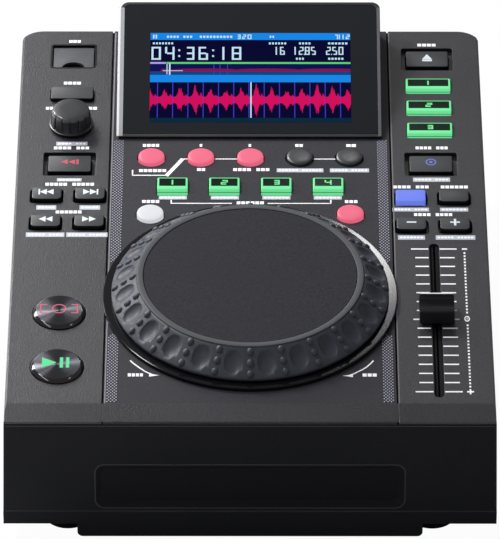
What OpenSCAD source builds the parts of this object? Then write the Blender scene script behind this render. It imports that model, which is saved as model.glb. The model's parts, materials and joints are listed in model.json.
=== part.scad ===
// Tabletop disc and media player with a jog wheel, a tilted colour screen and a motorised disc tray.
// Millimetres, +Z up, the front faces -Y. The origin is on the table, under the middle of the body.

/* [Body] */
// Width of the body across its top edges
body_w = 220; // [218:1:236]
// Depth from the front face to the rear edge
body_d = 291; // [288:1:310]
// Slope of the control panel, falling towards the front
slope = 5; // [3.5:0.5:6.5]
// Height of the crease where the panel meets the front strip
crease_z = 68.5; // [67:0.5:76]
// Depth of the bevelled strip in front of the crease
strip_d = 11; // [9:0.5:13]
// Drop of the bevelled strip
strip_drop = 2.8; // [2:0.1:4]
// Wall thickness of the mouldings
wall = 2.5; // [2.2:0.1:3]
// How far each side leans out from the crease down to the seam
side_draft = 1.3; // [0.5:0.1:2]
// Chamfer along the top side edges
edge = 0.8; // [0.4:0.1:1.2]
// Radius of the rear corners seen from above
corner_r = 11.5; // [6:0.5:13]
// Height of the seam between the upper and lower case
seam_z = 16.4; // [15.5:0.1:17.5]
// Height of the underside at both sides of the tub
base_z = 10; // [9.5:0.1:11]
// Height of the tub's underside
tub_z = 3; // [2.5:0.1:3.5]
// Gap between the disc drive and the sides of its tub
tub_gap = 0.8; // [0.6:0.1:1.2]
// Depth of the tub
tub_d = 182; // [180:1:200]
// How far the front skirt reaches past the tub at each side
skirt_side = 7.5; // [5:0.5:9]
// Radius of a rubber foot at its top
foot_r = 11.6; // [10:0.1:12.4]
// Gap between the feet and the sides of the tub
foot_gap = 0.5; // [0.4:0.1:4]
// Distance of the front feet behind the front face
foot_front = 20.8; // [16:0.1:40]
// Distance of the rear feet in front of the rear edge
foot_rear = 26; // [20:0.5:40]
// Radius of a screw post
post_r = 4.5; // [4:0.1:5]
// Distance of the screw posts from the side edges
post_in = 7.5; // [7.5:0.1:9]
// Distance of the front and rear screw posts from the front and rear faces
post_end = 24; // [20:0.5:28]
// Distance of the middle screw posts from the rear edge
post_mid = 85.5; // [80:0.5:90]

/* [Front] */
// Thickness of the front panel
front_t = 3; // [2.8:0.1:3.5]
// Thickness of the strip's lip above the front panel
lip_t = 0.9; // [0.7:0.1:1.2]
// How far the tray door reaches past the tray at each side
door_side = 1.9; // [1:0.1:2.2]
// Height of the tray door
door_h = 17.4; // [16:0.1:17.8]
// Radius of the tray door's corners
door_r = 1.8; // [1:0.1:2.5]
// Thickness of the tray door
door_t = 3; // [2.5:0.1:4]
// Height of the middle of the tray door
door_z = 30.6; // [30.4:0.1:31.4]
// How far the tray door lies behind the front face
door_in = 2; // [1.4:0.1:2.4]
// Width of the chamfered frame at the door's sides
frame_side = 2.3; // [1.8:0.1:3]
// Width of the chamfered frame above and below the door
frame_top = 2.8; // [2:0.1:3]

/* [Centre panel] */
// Width of the case on each side of the centre panel, with its groove
wing_w = 44.3; // [44:0.1:45.5]
// Width of each groove beside the centre panel
groove = 0.8; // [0.4:0.1:1]
// Thickness of the centre panel
centre_t = 1; // [0.8:0.1:1.2]

/* [Screen] */
// Width of the screen housing
screen_w = 124.4; // [122:0.2:126]
// Length of the sloping screen face
screen_l = 82.2; // [80:0.2:84]
// Extra tilt of the screen above the panel
screen_tilt = 14.6; // [13:0.2:16]
// Distance of the housing's front edge from the panel's rear edge
screen_rear = 85.9; // [84:0.1:88]
// Height of the housing's front edge
screen_lip = 1.4; // [1.2:0.1:1.8]
// Corner radius of the screen face
screen_r = 4; // [3:0.5:6]
// Rim of the housing around the lens
rim = 1.6; // [1.2:0.1:2]
// Thickness of the lens
lens_t = 1.2; // [1:0.1:1.4]
// Width of the display module
display_w = 104; // [102:0.5:106]
// Length of the display module
display_l = 62; // [60:0.5:63]
// Thickness of the display module
display_t = 4; // [3:0.1:5]
// Distance of the display's middle from the housing's front edge
display_v = 36.5; // [35:0.5:38]
// Front and rear wall of the housing
housing_wall = 4; // [3:0.1:5]

/* [Jog wheel] */
// Distance of the fixed base ring from the crease
ring_front = 8.2; // [7.5:0.1:9]
// Distance of the fixed base ring from the pads
ring_gap = 8.8; // [8:0.1:9.5]
// Height of the fixed base ring
base_ring_h = 2; // [1.6:0.1:2.4]
// Width of the base ring that shows around the finger ring
ring_ledge = 4; // [3.4:0.1:5]
// Width of the finger ring's slope seen from above
grip_w = 11.2; // [10.5:0.1:12]
// Height of the finger ring's upper edge above the panel
crown_h = 13.6; // [13:0.1:15]
// Height of the finger ring's lower edge above the panel
wheel_foot_h = 2.4; // [2.3:0.1:3]
// Thickness of the metal trim ring
ring_t = 1.3; // [1:0.1:1.6]
// Width of the metal trim ring
trim_w = 3.3; // [2.2:0.1:4.5]
// Thickness of the finger ring's skin
skin = 2.4; // [2:0.1:3]
// Radius of the jog shaft
shaft_r = 4; // [3:0.1:5]
// Outer radius of the jog bearing
bearing_r = 9; // [8:0.1:11]
// Depth of the jog bearing below the panel
bearing_d = 14; // [10:0.5:15]
// Radius of the encoder disc
encoder_r = 20; // [14:0.5:24]

/* [Keys] */
// Distance of the single key columns from the side edges
column_in = 25; // [24:0.2:26]
// Distance between the two keys of a pair
pair_step = 20.2; // [20:0.1:21]
// Width of a small key
small_w = 15; // [13:0.1:15.6]
// Length of a small key
small_l = 9.6; // [8.5:0.1:10.2]
// Height of the keys above the panel
key_h = 1.8; // [1.4:0.1:2.4]
// Corner radius of the keys
key_r = 1.2; // [0.8:0.1:1.6]
// Width of the back key
back_w = 20.2; // [18:0.1:21]
// Width of a source key
source_w = 21.4; // [20:0.1:22]
// Length of a source key
source_l = 9.8; // [9:0.1:10.4]
// Step between the source keys
source_step = 17.5; // [16:0.1:17.8]
// Width of a sunken key
sunk_w = 20.2; // [19:0.1:20.8]
// Length of a sunken key
sunk_l = 12.4; // [11.5:0.1:13]
// Width of the well around a sunken key
well_w = 24.8; // [24:0.1:25.4]
// Length of the well around a sunken key
well_l = 17.8; // [17:0.1:18.4]
// Depth of the well around a sunken key
well_d = 2.6; // [2:0.1:3]
// Radius of a round loop key
loop_r = 6.5; // [6:0.1:7]
// Step between the round loop keys
loop_step = 23.3; // [22:0.1:24]
// Width of a pad
pad_w = 14.5; // [13:0.1:15]
// Length of a pad
pad_l = 11.6; // [10.5:0.1:12]
// Step between the pads
pad_step = 24.3; // [23:0.1:25]
// Radius of the two transport keys
transport_r = 12; // [11:0.1:12.4]
// Distance of the transport keys from the left edge
transport_in = 22.9; // [22:0.1:24]
// Travel of a key
key_travel = 1; // [0.8:0.1:1.2]
// Distance from the panel's rear edge to the back key
back_rear = 51.7; // [50:0.1:53]
// Distance from the panel's rear edge to the eject key
eject_rear = 22.6; // [22:0.1:23.4]
// Distance from the panel's rear edge to the first source key
source_rear = 44.9; // [44:0.1:46]
// Distance from the panel's rear edge to the direction and jog mode keys
sunk_rear = 105.4; // [104:0.1:107]
// Distance from the panel's rear edge to the track keys
track_rear = 130.2; // [129:0.1:131]
// Distance from the panel's rear edge to the search keys
search_rear = 150.8; // [149:0.1:152]
// Distance from the panel's rear edge to the key lock and tap keys
lock_rear = 131.9; // [131:0.1:133]
// Distance from the panel's rear edge to the bend keys
bend_rear = 153; // [152:0.1:154]
// Distance from the panel's rear edge to the loop keys
loop_rear = 100.7; // [100:0.1:101.5]
// Distance from the panel's rear edge to the pads
pad_rear = 123.4; // [122:0.1:124.5]
// Distance from the panel's rear edge to the shift and slip keys
shift_rear = 143.9; // [143:0.1:144.5]
// Distance from the crease to the cue key
cue_v = 64.1; // [62:0.1:66]
// Distance from the crease to the play key
play_v = 25.5; // [24:0.1:28]

/* [Browse knob] */
// Distance from the panel's rear edge to the browse knob
knob_rear = 75.4; // [74.5:0.1:76]
// Radius of the knob at its foot
knob_r = 9.9; // [9:0.1:10.4]
// Radius of the knob at its top
knob_top_r = 8.3; // [7.5:0.1:9]
// Height of the knob's top above the panel
knob_h = 10; // [8.5:0.1:12]
// Radius of the knob's push collar
collar_r = 3; // [2.5:0.1:3.4]
// Radius of the pin inside the knob
knob_pin_r = 2; // [1.6:0.1:2.3]

/* [Pitch fader] */
// Distance from the crease to the fader's slot
fader_front = 4.3; // [4:0.1:6]
// Distance from the fader's slot to the bend keys
fader_gap = 8; // [7:0.1:10]
// Width of the fader's slot
slot_w = 4.6; // [4:0.1:5]
// Distance of the fader cap above the fader's middle
fader_rest = 2.5; // [0:0.1:4]
// Width of the fader cap
cap_w = 16; // [14:0.1:17]
// Length of the fader cap
cap_l = 14; // [12:0.1:16]
// Height of the fader cap's top above the panel
cap_h = 8; // [7:0.1:9]
// Radius of the finger hollow in the fader cap
cap_hollow_r = 9; // [8:0.1:12]
// Thickness of the fader's lever
lever_t = 1.6; // [1.2:0.1:2]
// Width of the fader's metal body
fader_w = 12; // [11:0.1:13]
// Depth of the fader's metal body
fader_h = 8; // [7:0.1:9]

/* [Memory port] */
// Width of the port's well
port_w = 21.4; // [20.6:0.1:22]
// Length of the port's well
port_l = 18.6; // [18:0.1:19.2]
// Depth of the port's well
port_d = 7; // [6.6:0.1:8]
// Distance from the panel's rear edge to the middle of the well
port_rear = 20.4; // [20:0.1:21]
// Thickness of the port's cover
cover_t = 1.6; // [1.2:0.1:1.8]
// Width of the finger notch in the cover
notch_w = 11; // [9:0.1:13]
// Length of the finger notch in the cover
notch_l = 4.9; // [4.6:0.1:5.2]
// Width of the port's socket
socket_w = 13.2; // [13:0.1:14]
// Height of the port's socket
socket_h = 6.2; // [6:0.1:6.4]

/* [Disc drive] */
// Width of the disc tray
tray_w = 130; // [128:0.5:130.6]
// Length of the disc tray
tray_l = 150; // [148:1:156]
// Thickness of the disc tray
tray_t = 7; // [6.6:0.1:7.4]
// Height of the tray's underside
tray_z = 26.5; // [26.3:0.1:27]
// Rim of the tray beside the well for a disc
tray_rim = 4.5; // [4:0.1:4.7]
// Depth of the well for a disc
disc_d = 4.5; // [4.3:0.1:4.8]
// Distance of the spindle behind the tray's front end
spindle_in = 64.5; // [64:0.1:66]
// Half width of the tray's slot for the turntable
slot_r = 23; // [21:0.5:24]
// Radius of the turntable
table_r = 15; // [13:0.1:16]
// Radius of the clamp above the turntable
clamp_r = 13; // [11:0.1:14]
// Module of the tray's rack and gear
gear_m = 1; // [0.9:0.05:1]
// Teeth of the tray gear
gear_teeth = 20; // [18:1:20]
// Thickness of the tray gear
gear_t = 3; // [2.6:0.1:3.2]
// Distance of the rack's pitch line from the centre line
rack_x = 42; // [41:0.1:43]
// Thickness of the drive frame's side walls
frame_wall = 1.8; // [1.5:0.1:2]
// Height of the drive frame's side walls above its floor
frame_h = 33; // [32:0.5:36]
// Radius of the pickup's guide rods
rod_r = 1.5; // [1.2:0.1:2]
// Distance of the guide rods from the centre line
rod_x = 18; // [17:0.1:19]
// Travel of the pickup
pickup_travel = 36; // [30:1:38]
// Radius of the lead screw
lead_r = 2; // [1.6:0.1:2.2]

/* [Rear] */
// Distance of the opening in the rear wall from the sides
rear_in = 15; // [14:0.5:17]
// Height of the opening in the rear wall
rear_h = 40; // [38:0.5:44]
// Height of the middle of the rear opening
rear_mid_z = 44; // [42:0.5:48]
// Depth of the dished rear panel
dish_d = 9; // [8.6:0.1:10]
// Sheet thickness of the rear panel
sheet_t = 1.2; // [1:0.1:1.5]
// Radius of an output socket
output_r = 4.15; // [4:0.05:4.3]
// Step between the output sockets
output_step = 18; // [16:0.5:20]

/* [Clearances] */
// Gap between a moving key and its hole
key_gap = 0.35; // [0.3:0.05:0.45]
// Gap between mouldings at a seam
seam_gap = 0.25; // [0.2:0.05:0.3]
// Radial running clearance of shafts and pins
run_gap = 0.05; // [0.02:0.01:0.08]
// Small seating gap between parts that face each other
seat_gap = 0.3; // [0.2:0.05:0.4]

/* [Hidden] */
$fn = 64;
over = 1; // how far a cut runs past the surface that it opens

// Places along the panel, measured from the crease
front_y = -body_d / 2;
rear_y = body_d / 2;
crease_y = front_y + strip_d;
panel_len = (body_d - strip_d) / cos(slope);
rear_z = crease_z + (body_d - strip_d) * tan(slope);
front_z = crease_z - strip_drop;
draft = side_draft / (crease_z - seam_z);
seam_w = body_w + 2 * side_draft;
screen_v = panel_len - screen_rear;
column_x = body_w / 2 - column_in;
centre_w = body_w - 2 * wing_w;
pair_x = [column_x - pair_step / 2, column_x + pair_step / 2];
transport_x = body_w / 2 - transport_in;
base_ring_r = (panel_len - pad_rear - pad_l / 2 - ring_gap - ring_front) / 2;
jog_v = ring_front + base_ring_r;
wheel_r = base_ring_r - ring_ledge;
crown_r = wheel_r - grip_w;
plate_r = crown_r - trim_w;
slot_l = panel_len - bend_rear - small_l / 2 - fader_gap - fader_front;
fader_v = fader_front + slot_l / 2;

// Key places, each as [x, distance from the crease]
small_places = [
    [-pair_x[1], panel_len - track_rear], [-pair_x[0], panel_len - track_rear],
    [-pair_x[1], panel_len - search_rear], [-pair_x[0], panel_len - search_rear],
    [pair_x[0], panel_len - lock_rear], [pair_x[1], panel_len - lock_rear],
    [pair_x[0], panel_len - bend_rear], [pair_x[1], panel_len - bend_rear]
];
loop_places = [for (i = [-2:2]) [i * loop_step, panel_len - loop_rear]];
round_places = concat(loop_places, [
    [-2 * loop_step, panel_len - shift_rear], [2 * loop_step, panel_len - shift_rear]
]);
pad_places = [for (i = [0:3]) [(i - 1.5) * pad_step, panel_len - pad_rear]];
source_places = [for (i = [0:2]) [column_x, panel_len - source_rear - i * source_step]];
sunk_places = [
    [-column_x, panel_len - sunk_rear], [column_x, panel_len - eject_rear],
    [column_x, panel_len - sunk_rear]
];
transport_places = [[-transport_x, cue_v], [-transport_x, play_v]];
back_place = [-column_x, panel_len - back_rear];
knob_place = [-column_x, panel_len - knob_rear];
port_place = [-column_x, panel_len - port_rear];
port_r = key_r / 2;

// Depths below the panel's surface
flange_w = 1; // how far a key's flange reaches past its hole's edge
flange_t = 1.2;
stem_r = 1.6;
board_h = -11; // upper face of the control boards
board_t = 1.6;
switch_w = 5;
switch_t = 3;
stem_end = board_h + switch_t + key_travel + seat_gap;

// Screw posts
post_x = body_w / 2 - post_in;
post_ys = [front_y + post_end, rear_y - post_mid, rear_y - post_end];
screw_r = 1.45;
screw_head_r = 2.8;
screw_head_t = 2.1;
sink_r = 3.2; // counterbore under the lower case
shoulder_z = base_z + 6;
post_z = shoulder_z + 4;
screw_l = 18;

// Disc drive
disc_r = tray_w / 2 - tray_rim;
door_w = tray_w + 2 * door_side;
tray_front_y = front_y + door_in + door_t;
spindle_y = tray_front_y + spindle_in;
rack_pitch = PI * gear_m;
gear_r = gear_m * gear_teeth / 2;
gear_x = rack_x + gear_r;
gear_y = tray_front_y + gear_r + gear_m + 4;
gear_z = tray_z - seat_gap - gear_t;
rack_w = 5;
rack_h = gear_t + 2 * seat_gap;
frame_z = tub_z + wall + seat_gap;
frame_floor = 2;
frame_in = tray_w / 2 + 0.4;
tub_w = 2 * (frame_in + frame_wall + tub_gap + wall);
skirt_w = tub_w + 2 * skirt_side;
foot_x = tub_w / 2 + foot_gap + foot_r;
frame_front = tray_front_y + over;
frame_rear = tray_front_y + tray_l + 6;
guide_w = 1.6;
bridge_w = 40;
bridge_t = 2;
bridge_z = frame_z + frame_h - bridge_t;
motor_r = 12;
sled_l = 26;
sled_y = spindle_y + motor_r + 6;
sled_z = 12;
sled_h = 8;
rod_z = sled_z + sled_h / 2;
rod_end_y = sled_y + sled_l + pickup_travel + 2;
rod_post = 3;
lead_x = rod_x + 9;
drive_screws = [
    for (x = [-1, 1], y = [frame_front + 14, frame_rear - 14]) [x * (frame_in - 6), y]
];

// Hinge of the port's cover
pin_r = 0.8;
pin_l = 1;
barrel_r = 1.3;
hinge_v = port_place[1] + port_l / 2 - 1.8;
hinge_h = -1.7;
cover_h = hinge_h + barrel_r; // height of the cover's upper face

// Control boards, posts and the knob's encoder
board_posts = [
    [-column_x, panel_len - sunk_rear - 13.5], [-column_x, panel_len - sunk_rear + 13.5],
    [column_x, panel_len - sunk_rear - 13.2], [column_x, panel_len - sunk_rear + 13.2],
    [-loop_step / 2, panel_len - loop_rear], [loop_step / 2, panel_len - loop_rear],
    [-transport_x, (cue_v + play_v) / 2]
];
board_post_r = 2.4;
encoder_w = 12;
knob_push = 0.8;
knob_foot_h = 1.3; // height of the knob's underside above the panel

// Boards on the floor of the lower case
board_gap = 4;
main_board_z = base_z + wall + board_gap;
main_board_w = post_x - post_r - 1.5 * board_gap;
main_board_l = body_d - tub_d - 6 * board_gap;
main_board_x = (main_board_w + board_gap) / 2;
main_board_y = rear_y - 5 * board_gap - main_board_l / 2;
standoff_r = 3;
standoffs = [
    for (side = [-1, 1], x = [-1, 1], y = [-1, 1])
        [
            side * main_board_x + x * (main_board_w / 2 - standoff_r - over),
            main_board_y + y * (main_board_l / 2 - standoff_r - over)
        ]
];

// Rear panel and sockets
dish_y = rear_y - wall - seam_gap - dish_d; // rear face of the dish floor
output_z = rear_mid_z - 4;
output_xs = [for (i = [0:2]) -16 - i * output_step];
rear_w = body_w - 2 * rear_in;
start_x = -rear_w / 2 + 17;
data_x = 12;
inlet_x = rear_w / 2 - 23;
rocker_x = inlet_x - 32;
rocker_z = rear_mid_z;
rocker_y = dish_y - 2.5;
start_r = 4; // outer radius of the start socket
data_w = 12;
data_h = 11;
data_l = 16;
inlet_w = 27.4;
inlet_h = 19.6;
inlet_l = 24;
frame_w = 13; // width of the power switch's frame
switch_l = 16;
switch_h = 19.2;
rocker_w = 9.4;
rocker_gap = 0.4;
rocker_end = 6.6; // half height of the rocker
rocker_room = rocker_end + 1.4; // half height of the hole around the rocker
rocker_pin_r = 1;
socket_face = dish_y + 0.8; // rear face of the flat sockets
socket_wall = 1.5;

// Jog wheel
shelf_h = crown_h - ring_t; // the shelf under the trim ring and touch plate
hub_r = 12;
hub_h = base_ring_h + 1.3; // height of the hub's foot
wheel_skirt = 1.6; // height of the finger ring's upright foot

// Pitch fader
fader_low = -wall - seat_gap - fader_h; // underside of the metal body
channel_w = slot_w + 0.8;
lever_l = 5;
gear_post_r = 2;

// Puts its children on the control panel: x across, y up the slope from the crease, z out of it
module on_panel() {
    translate([0, crease_y, crease_z])
        rotate([slope, 0, 0])
            children();
}

// Puts its children on the screen's sloping face
module on_screen() {
    on_panel()
        translate([0, screen_v, screen_lip])
            rotate([screen_tilt, 0, 0])
                children();
}

// Extrudes a [y, z] outline along X
module along_x(w) {
    rotate([90, 0, 90])
        linear_extrude(w, center = true)
            children();
}

// Extrudes an [x, z] outline along Y
module along_y(l) {
    rotate([90, 0, 0])
        linear_extrude(l, center = true)
            children();
}

// A box from its middle in x and y and its two heights
module slab(place, size, z0, z1) {
    translate([place[0] - size[0] / 2, place[1] - size[1] / 2, z0])
        cube([size[0], size[1], z1 - z0]);
}

// A rectangle with round corners
module round_rect(w, l, r) {
    square([w - 2 * r, l], center = true);
    square([w, l - 2 * r], center = true);
    for (x = [-1, 1], y = [-1, 1])
        translate([x * (w / 2 - r), y * (l / 2 - r)])
            circle(r);
}

// A block with round upright edges between two heights
module round_block(place, w, l, r, z0, z1) {
    translate([place[0], place[1], z0])
        linear_extrude(z1 - z0)
            round_rect(w, l, r);
}

// An upright cylinder between two heights
module disc(place, r, z0, z1) {
    translate([place[0], place[1], z0])
        cylinder(r = r, h = z1 - z0);
}

// The body seen from above, with round rear corners and its front moved out
module plan(inset, front_out) {
    w = seam_w - 2 * inset;
    r = corner_r - inset;
    translate([-w / 2, front_y - front_out])
        square([w, body_d + front_out - corner_r]);
    translate([-w / 2 + r, rear_y - corner_r - over])
        square([w - 2 * r, r + over]);
    for (x = [-1, 1])
        translate([x * (w / 2 - r), rear_y - corner_r])
            circle(r);
}

// Half width of the body at a height above the panel
function half_w(h) = body_w / 2 - h * draft;

// Cross-section of the body on the panel, with leaning sides and chamfered top edges
module section(inset) {
    deep = -2 * crease_z;
    polygon([
        [-half_w(deep) + inset, deep], [half_w(deep) - inset, deep],
        [half_w(-edge) - inset, -edge], [half_w(0) - edge - inset, 0],
        [-half_w(0) + edge + inset, 0], [-half_w(-edge) + inset, -edge]
    ]);
}

// The solid outline of the upper case
module upper_outline() {
    intersection() {
        along_x(2 * body_w)
            polygon([
                [front_y, seam_z], [rear_y, seam_z], [rear_y, rear_z],
                [crease_y, crease_z], [front_y, front_z]
            ]);
        on_panel()
            along_y(3 * body_d)
                section(0);
        linear_extrude(3 * crease_z)
            plan(0, 0);
    }
}

// Height of the strip's surface at a place between the front face and the crease
function strip_z(y) = front_z + (y - front_y) * strip_drop / strip_d;

// The space inside the upper case
module upper_space() {
    back = rear_y - wall;
    low = seam_z - over;
    notch_y = front_y + front_t + seam_gap;
    out_y = front_y - over;
    intersection() {
        along_x(2 * body_w)
            polygon([
                [notch_y, low], [back, low], [back, rear_z - wall / cos(slope) - wall * tan(slope)],
                [crease_y, crease_z - wall], [notch_y, strip_z(notch_y) - wall]
            ]);
        on_panel()
            translate([0, 0, -wall])
                along_y(3 * body_d)
                    section(wall);
        linear_extrude(3 * crease_z)
            plan(wall, 0);
    }
    along_x(2 * body_w)
        polygon([
            [out_y, low], [notch_y, low], [notch_y, strip_z(notch_y) - lip_t],
            [out_y, strip_z(out_y) - lip_t]
        ]);
}

// The band of the upper case's surface that the centre panel fills
module surface_band(w, depth, rise) {
    along_x(w)
        polygon([
            [front_y - over, strip_z(front_y - over) - depth],
            [front_y - over, strip_z(front_y - over) + rise],
            [crease_y, crease_z + rise],
            [rear_y + over, rear_z + over * tan(slope) + rise],
            [rear_y + over, rear_z + over * tan(slope) - depth],
            [crease_y, crease_z - depth]
        ]);
}

// Holes in the panel around the keys, bearing, knob, fader and display, on the panel
module panel_holes() {
    top = key_h + over;
    bottom = -wall - 2 * over;
    for (p = small_places)
        round_block(p, small_w + 2 * key_gap, small_l + 2 * key_gap, key_r + key_gap, bottom, top);
    for (p = round_places)
        disc(p, loop_r + key_gap, bottom, top);
    for (p = pad_places)
        round_block(p, pad_w + 2 * key_gap, pad_l + 2 * key_gap, key_r + key_gap, bottom, top);
    for (p = source_places)
        round_block(p, source_w + 2 * key_gap, source_l + 2 * key_gap, key_r + key_gap, bottom, top);
    for (p = transport_places)
        disc(p, transport_r + key_gap, bottom, top);
    round_block(back_place, back_w + 2 * key_gap, small_l + 2 * key_gap, key_r + key_gap, bottom, top);
    disc(knob_place, collar_r + seat_gap, bottom, top);
    disc([0, jog_v], bearing_r + run_gap, bottom, top);
    slab([0, screen_v + screen_rear / 2], [display_w + 2 * over, screen_rear - 4 * wall], bottom, top);
    round_block([column_x, fader_v], slot_w, slot_l, slot_w / 2 - seam_gap, bottom, top);
}

// Wells that hold the sunken keys, on the panel
module well_pans(grow, floor) {
    for (p = sunk_places)
        round_block(
            p, well_w + 2 * grow, well_l + 2 * grow, key_r + grow,
            -well_d - floor, floor > 0 ? -over : over
        );
}

module top_case() {
    color("dimgray")
        difference() {
            union() {
                difference() {
                    upper_outline();
                    upper_space();
                }
                intersection() {
                    upper_outline();
                    union() {
                        for (x = [-post_x, post_x], y = post_ys)
                            disc([x, y], post_r, post_z, rear_z);
                        on_panel() {
                            well_pans(wall / 2, wall / 2);
                            round_block(
                                port_place, port_w + wall, port_l + wall, port_r,
                                -port_d - wall / 2, -over
                            );
                            for (p = board_posts)
                                disc(p, board_post_r, board_h, -over);
                        }
                    }
                }
            }
            surface_band(centre_w + 2 * groove, centre_t, wall);
            on_panel() {
                panel_holes();
                well_pans(0, 0);
                for (p = sunk_places)
                    round_block(
                        p, sunk_w + 2 * key_gap, sunk_l + 2 * key_gap, key_r + key_gap,
                        -well_d - 2 * wall, 0
                    );
                round_block(port_place, port_w, port_l, port_r, -port_d, over);
                slab(port_place, [socket_w + seat_gap, socket_h + seat_gap], -port_d - 2 * wall, 0);
                translate([port_place[0], hinge_v, hinge_h])
                    rotate([0, 90, 0])
                        cylinder(r = pin_r + run_gap, h = port_w + 2 * pin_l, center = true);
            }
            slab([0, rear_y], [rear_w, 4 * wall], rear_mid_z - rear_h / 2, rear_mid_z + rear_h / 2);
            for (x = [-post_x, post_x], y = post_ys)
                disc([x, y], screw_r + run_gap, post_z - over, shoulder_z + screw_l + over);
        }
}

module centre_panel() {
    color("gray")
        difference() {
            intersection() {
                upper_outline();
                surface_band(centre_w, centre_t, wall);
            }
            on_panel()
                panel_holes();
        }
}

module front_panel() {
    low_z = door_z - door_h / 2 - frame_top;
    high_z = door_z + door_h / 2 + frame_top;
    side_x = door_w / 2 + frame_side;
    hole_w = door_w + 2 * seat_gap;
    hole_h = door_h + 2 * seat_gap;
    mid_y = front_y + door_in;
    color("black")
        difference() {
            intersection() {
                upper_outline();
                slab(
                    [0, front_y + front_t / 2], [2 * body_w, front_t],
                    seam_z + seam_gap, front_z - max(lip_t, centre_t) - seam_gap
                );
            }
            translate([0, front_y, door_z])
                along_y(4 * front_t)
                    round_rect(hole_w, hole_h, door_r + seat_gap);
            intersection() {
                along_x(2 * side_x)
                    polygon([
                        [front_y - over, low_z], [front_y, low_z], [mid_y, door_z - hole_h / 2],
                        [mid_y, door_z + hole_h / 2], [front_y, high_z], [front_y - over, high_z]
                    ]);
                translate([0, 0, low_z])
                    linear_extrude(high_z - low_z)
                        polygon([
                            [-side_x, front_y - over], [-side_x, front_y], [-hole_w / 2, mid_y],
                            [hole_w / 2, mid_y], [side_x, front_y], [side_x, front_y - over]
                        ]);
            }
        }
}

module bottom_case() {
    tub_rear = front_y + tub_d;
    lip_in = max(wall, front_t) + seat_gap;
    lip_h = 3;
    skirt_r = 2.5;
    color("black")
        difference() {
            union() {
                translate([0, 0, base_z])
                    linear_extrude(seam_z - base_z)
                        plan(0, 0);
                translate([0, 0, seam_z - over])
                    linear_extrude(lip_h + over)
                        plan(lip_in, -lip_in);
                slab([0, front_y + tub_d / 2], [tub_w, tub_d], tub_z, base_z + wall);
                for (x = [-post_x, post_x], y = post_ys)
                    disc([x, y], post_r, base_z, post_z);
                translate([0, front_y + front_t / 2, (tub_z + seam_z) / 2])
                    along_y(front_t)
                        round_rect(skirt_w, seam_z - tub_z, skirt_r);
            }
            difference() {
                translate([0, 0, base_z + wall])
                    linear_extrude(seam_z)
                        plan(lip_in + wall / 2, -lip_in - wall / 2);
                for (x = [-post_x, post_x], y = post_ys)
                    disc([x, y], post_r, base_z, post_z);
                for (p = standoffs)
                    disc(p, standoff_r, base_z, main_board_z);
            }
            slab(
                [0, front_y + tub_d / 2], [tub_w - 2 * wall, tub_d - 2 * lip_in - wall],
                tub_z + wall, 2 * seam_z
            );
            for (x = [-post_x, post_x], y = post_ys) {
                disc([x, y], screw_r + seat_gap, base_z, post_z + over);
                disc([x, y], sink_r, base_z - over, shoulder_z);
            }
            for (p = drive_screws)
                disc(p, screw_r + run_gap, tub_z + over, tub_z + 2 * wall);
        }
}

module feet() {
    foot_top = base_z;
    taper = 0.8;
    color("darkslategray")
        for (x = [-foot_x, foot_x], y = [front_y + foot_front, rear_y - foot_rear])
            translate([x, y, 0])
                cylinder(r1 = foot_r - taper, r2 = foot_r, h = foot_top);
}

module screws() {
    color("silver") {
        for (x = [-post_x, post_x], y = post_ys) {
            disc([x, y], screw_head_r, shoulder_z - screw_head_t, shoulder_z);
            disc([x, y], screw_r, shoulder_z - over, shoulder_z + screw_l);
        }
        for (p = drive_screws) {
            disc(p, screw_head_r, frame_z + frame_floor, frame_z + frame_floor + screw_head_t);
            disc(p, screw_r, tub_z + over + seam_gap, frame_z + frame_floor + over);
        }
    }
}

module screen_housing() {
    color("black")
        difference() {
            intersection() {
                on_screen()
                    translate([0, 0, -screen_l])
                        linear_extrude(screen_l)
                            screen_face(0);
                on_panel()
                    slab([0, screen_v + screen_rear / 2], [2 * screen_w, 2 * screen_rear], 0, screen_l);
            }
            on_screen() {
                translate([0, 0, -lens_t])
                    linear_extrude(2 * lens_t)
                        screen_face(rim);
                slab(
                    [0, screen_l / 2], [screen_w - 2 * housing_wall, screen_l - 2 * housing_wall],
                    -screen_l, -lens_t - sheet_t
                );
                slab(
                    [0, display_v], [display_w + 2 * seat_gap, display_l + 2 * seat_gap],
                    -screen_l, 0
                );
            }
        }
}

// The screen's sloping face, with round upper corners
module screen_face(inset) {
    w = screen_w - 2 * inset;
    r = screen_r - inset / 2;
    translate([-w / 2, inset])
        square([w, screen_l - inset - screen_r]);
    translate([-w / 2 + r, screen_l - screen_r - over])
        square([w - 2 * r, screen_r - inset + over]);
    for (x = [-1, 1])
        translate([x * (w / 2 - r), screen_l - inset - r])
            circle(r);
}

module screen_lens() {
    color("darkslategray")
        on_screen()
            translate([0, 0, -lens_t])
                linear_extrude(lens_t)
                    screen_face(rim + seam_gap);
}

module display_module() {
    color("navy")
        on_screen()
            slab(
                [0, display_v], [display_w, display_l],
                -lens_t - seam_gap - display_t, -lens_t - seam_gap
            );
}

module jog_base_ring() {
    bevel = 1.1;
    color("black")
        on_panel()
            translate([0, jog_v, 0])
                rotate_extrude()
                    polygon([
                        [crown_r, 0], [base_ring_r, 0], [base_ring_r, base_ring_h - bevel],
                        [base_ring_r - bevel, base_ring_h], [crown_r, base_ring_h]
                    ]);
}

module jog_wheel() {
    color("gray")
        on_panel()
            translate([0, jog_v, 0])
                rotate_extrude()
                    polygon([
                        [shaft_r + run_gap, hub_h], [hub_r, hub_h], [hub_r, shelf_h - skin],
                        [crown_r - skin, shelf_h - skin], [wheel_r - 1.5 * skin, wheel_foot_h],
                        [wheel_r, wheel_foot_h], [wheel_r, wheel_foot_h + wheel_skirt],
                        [crown_r, shelf_h + ring_t / 2], [crown_r, shelf_h],
                        [shaft_r + run_gap, shelf_h]
                    ]);
}

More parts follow.
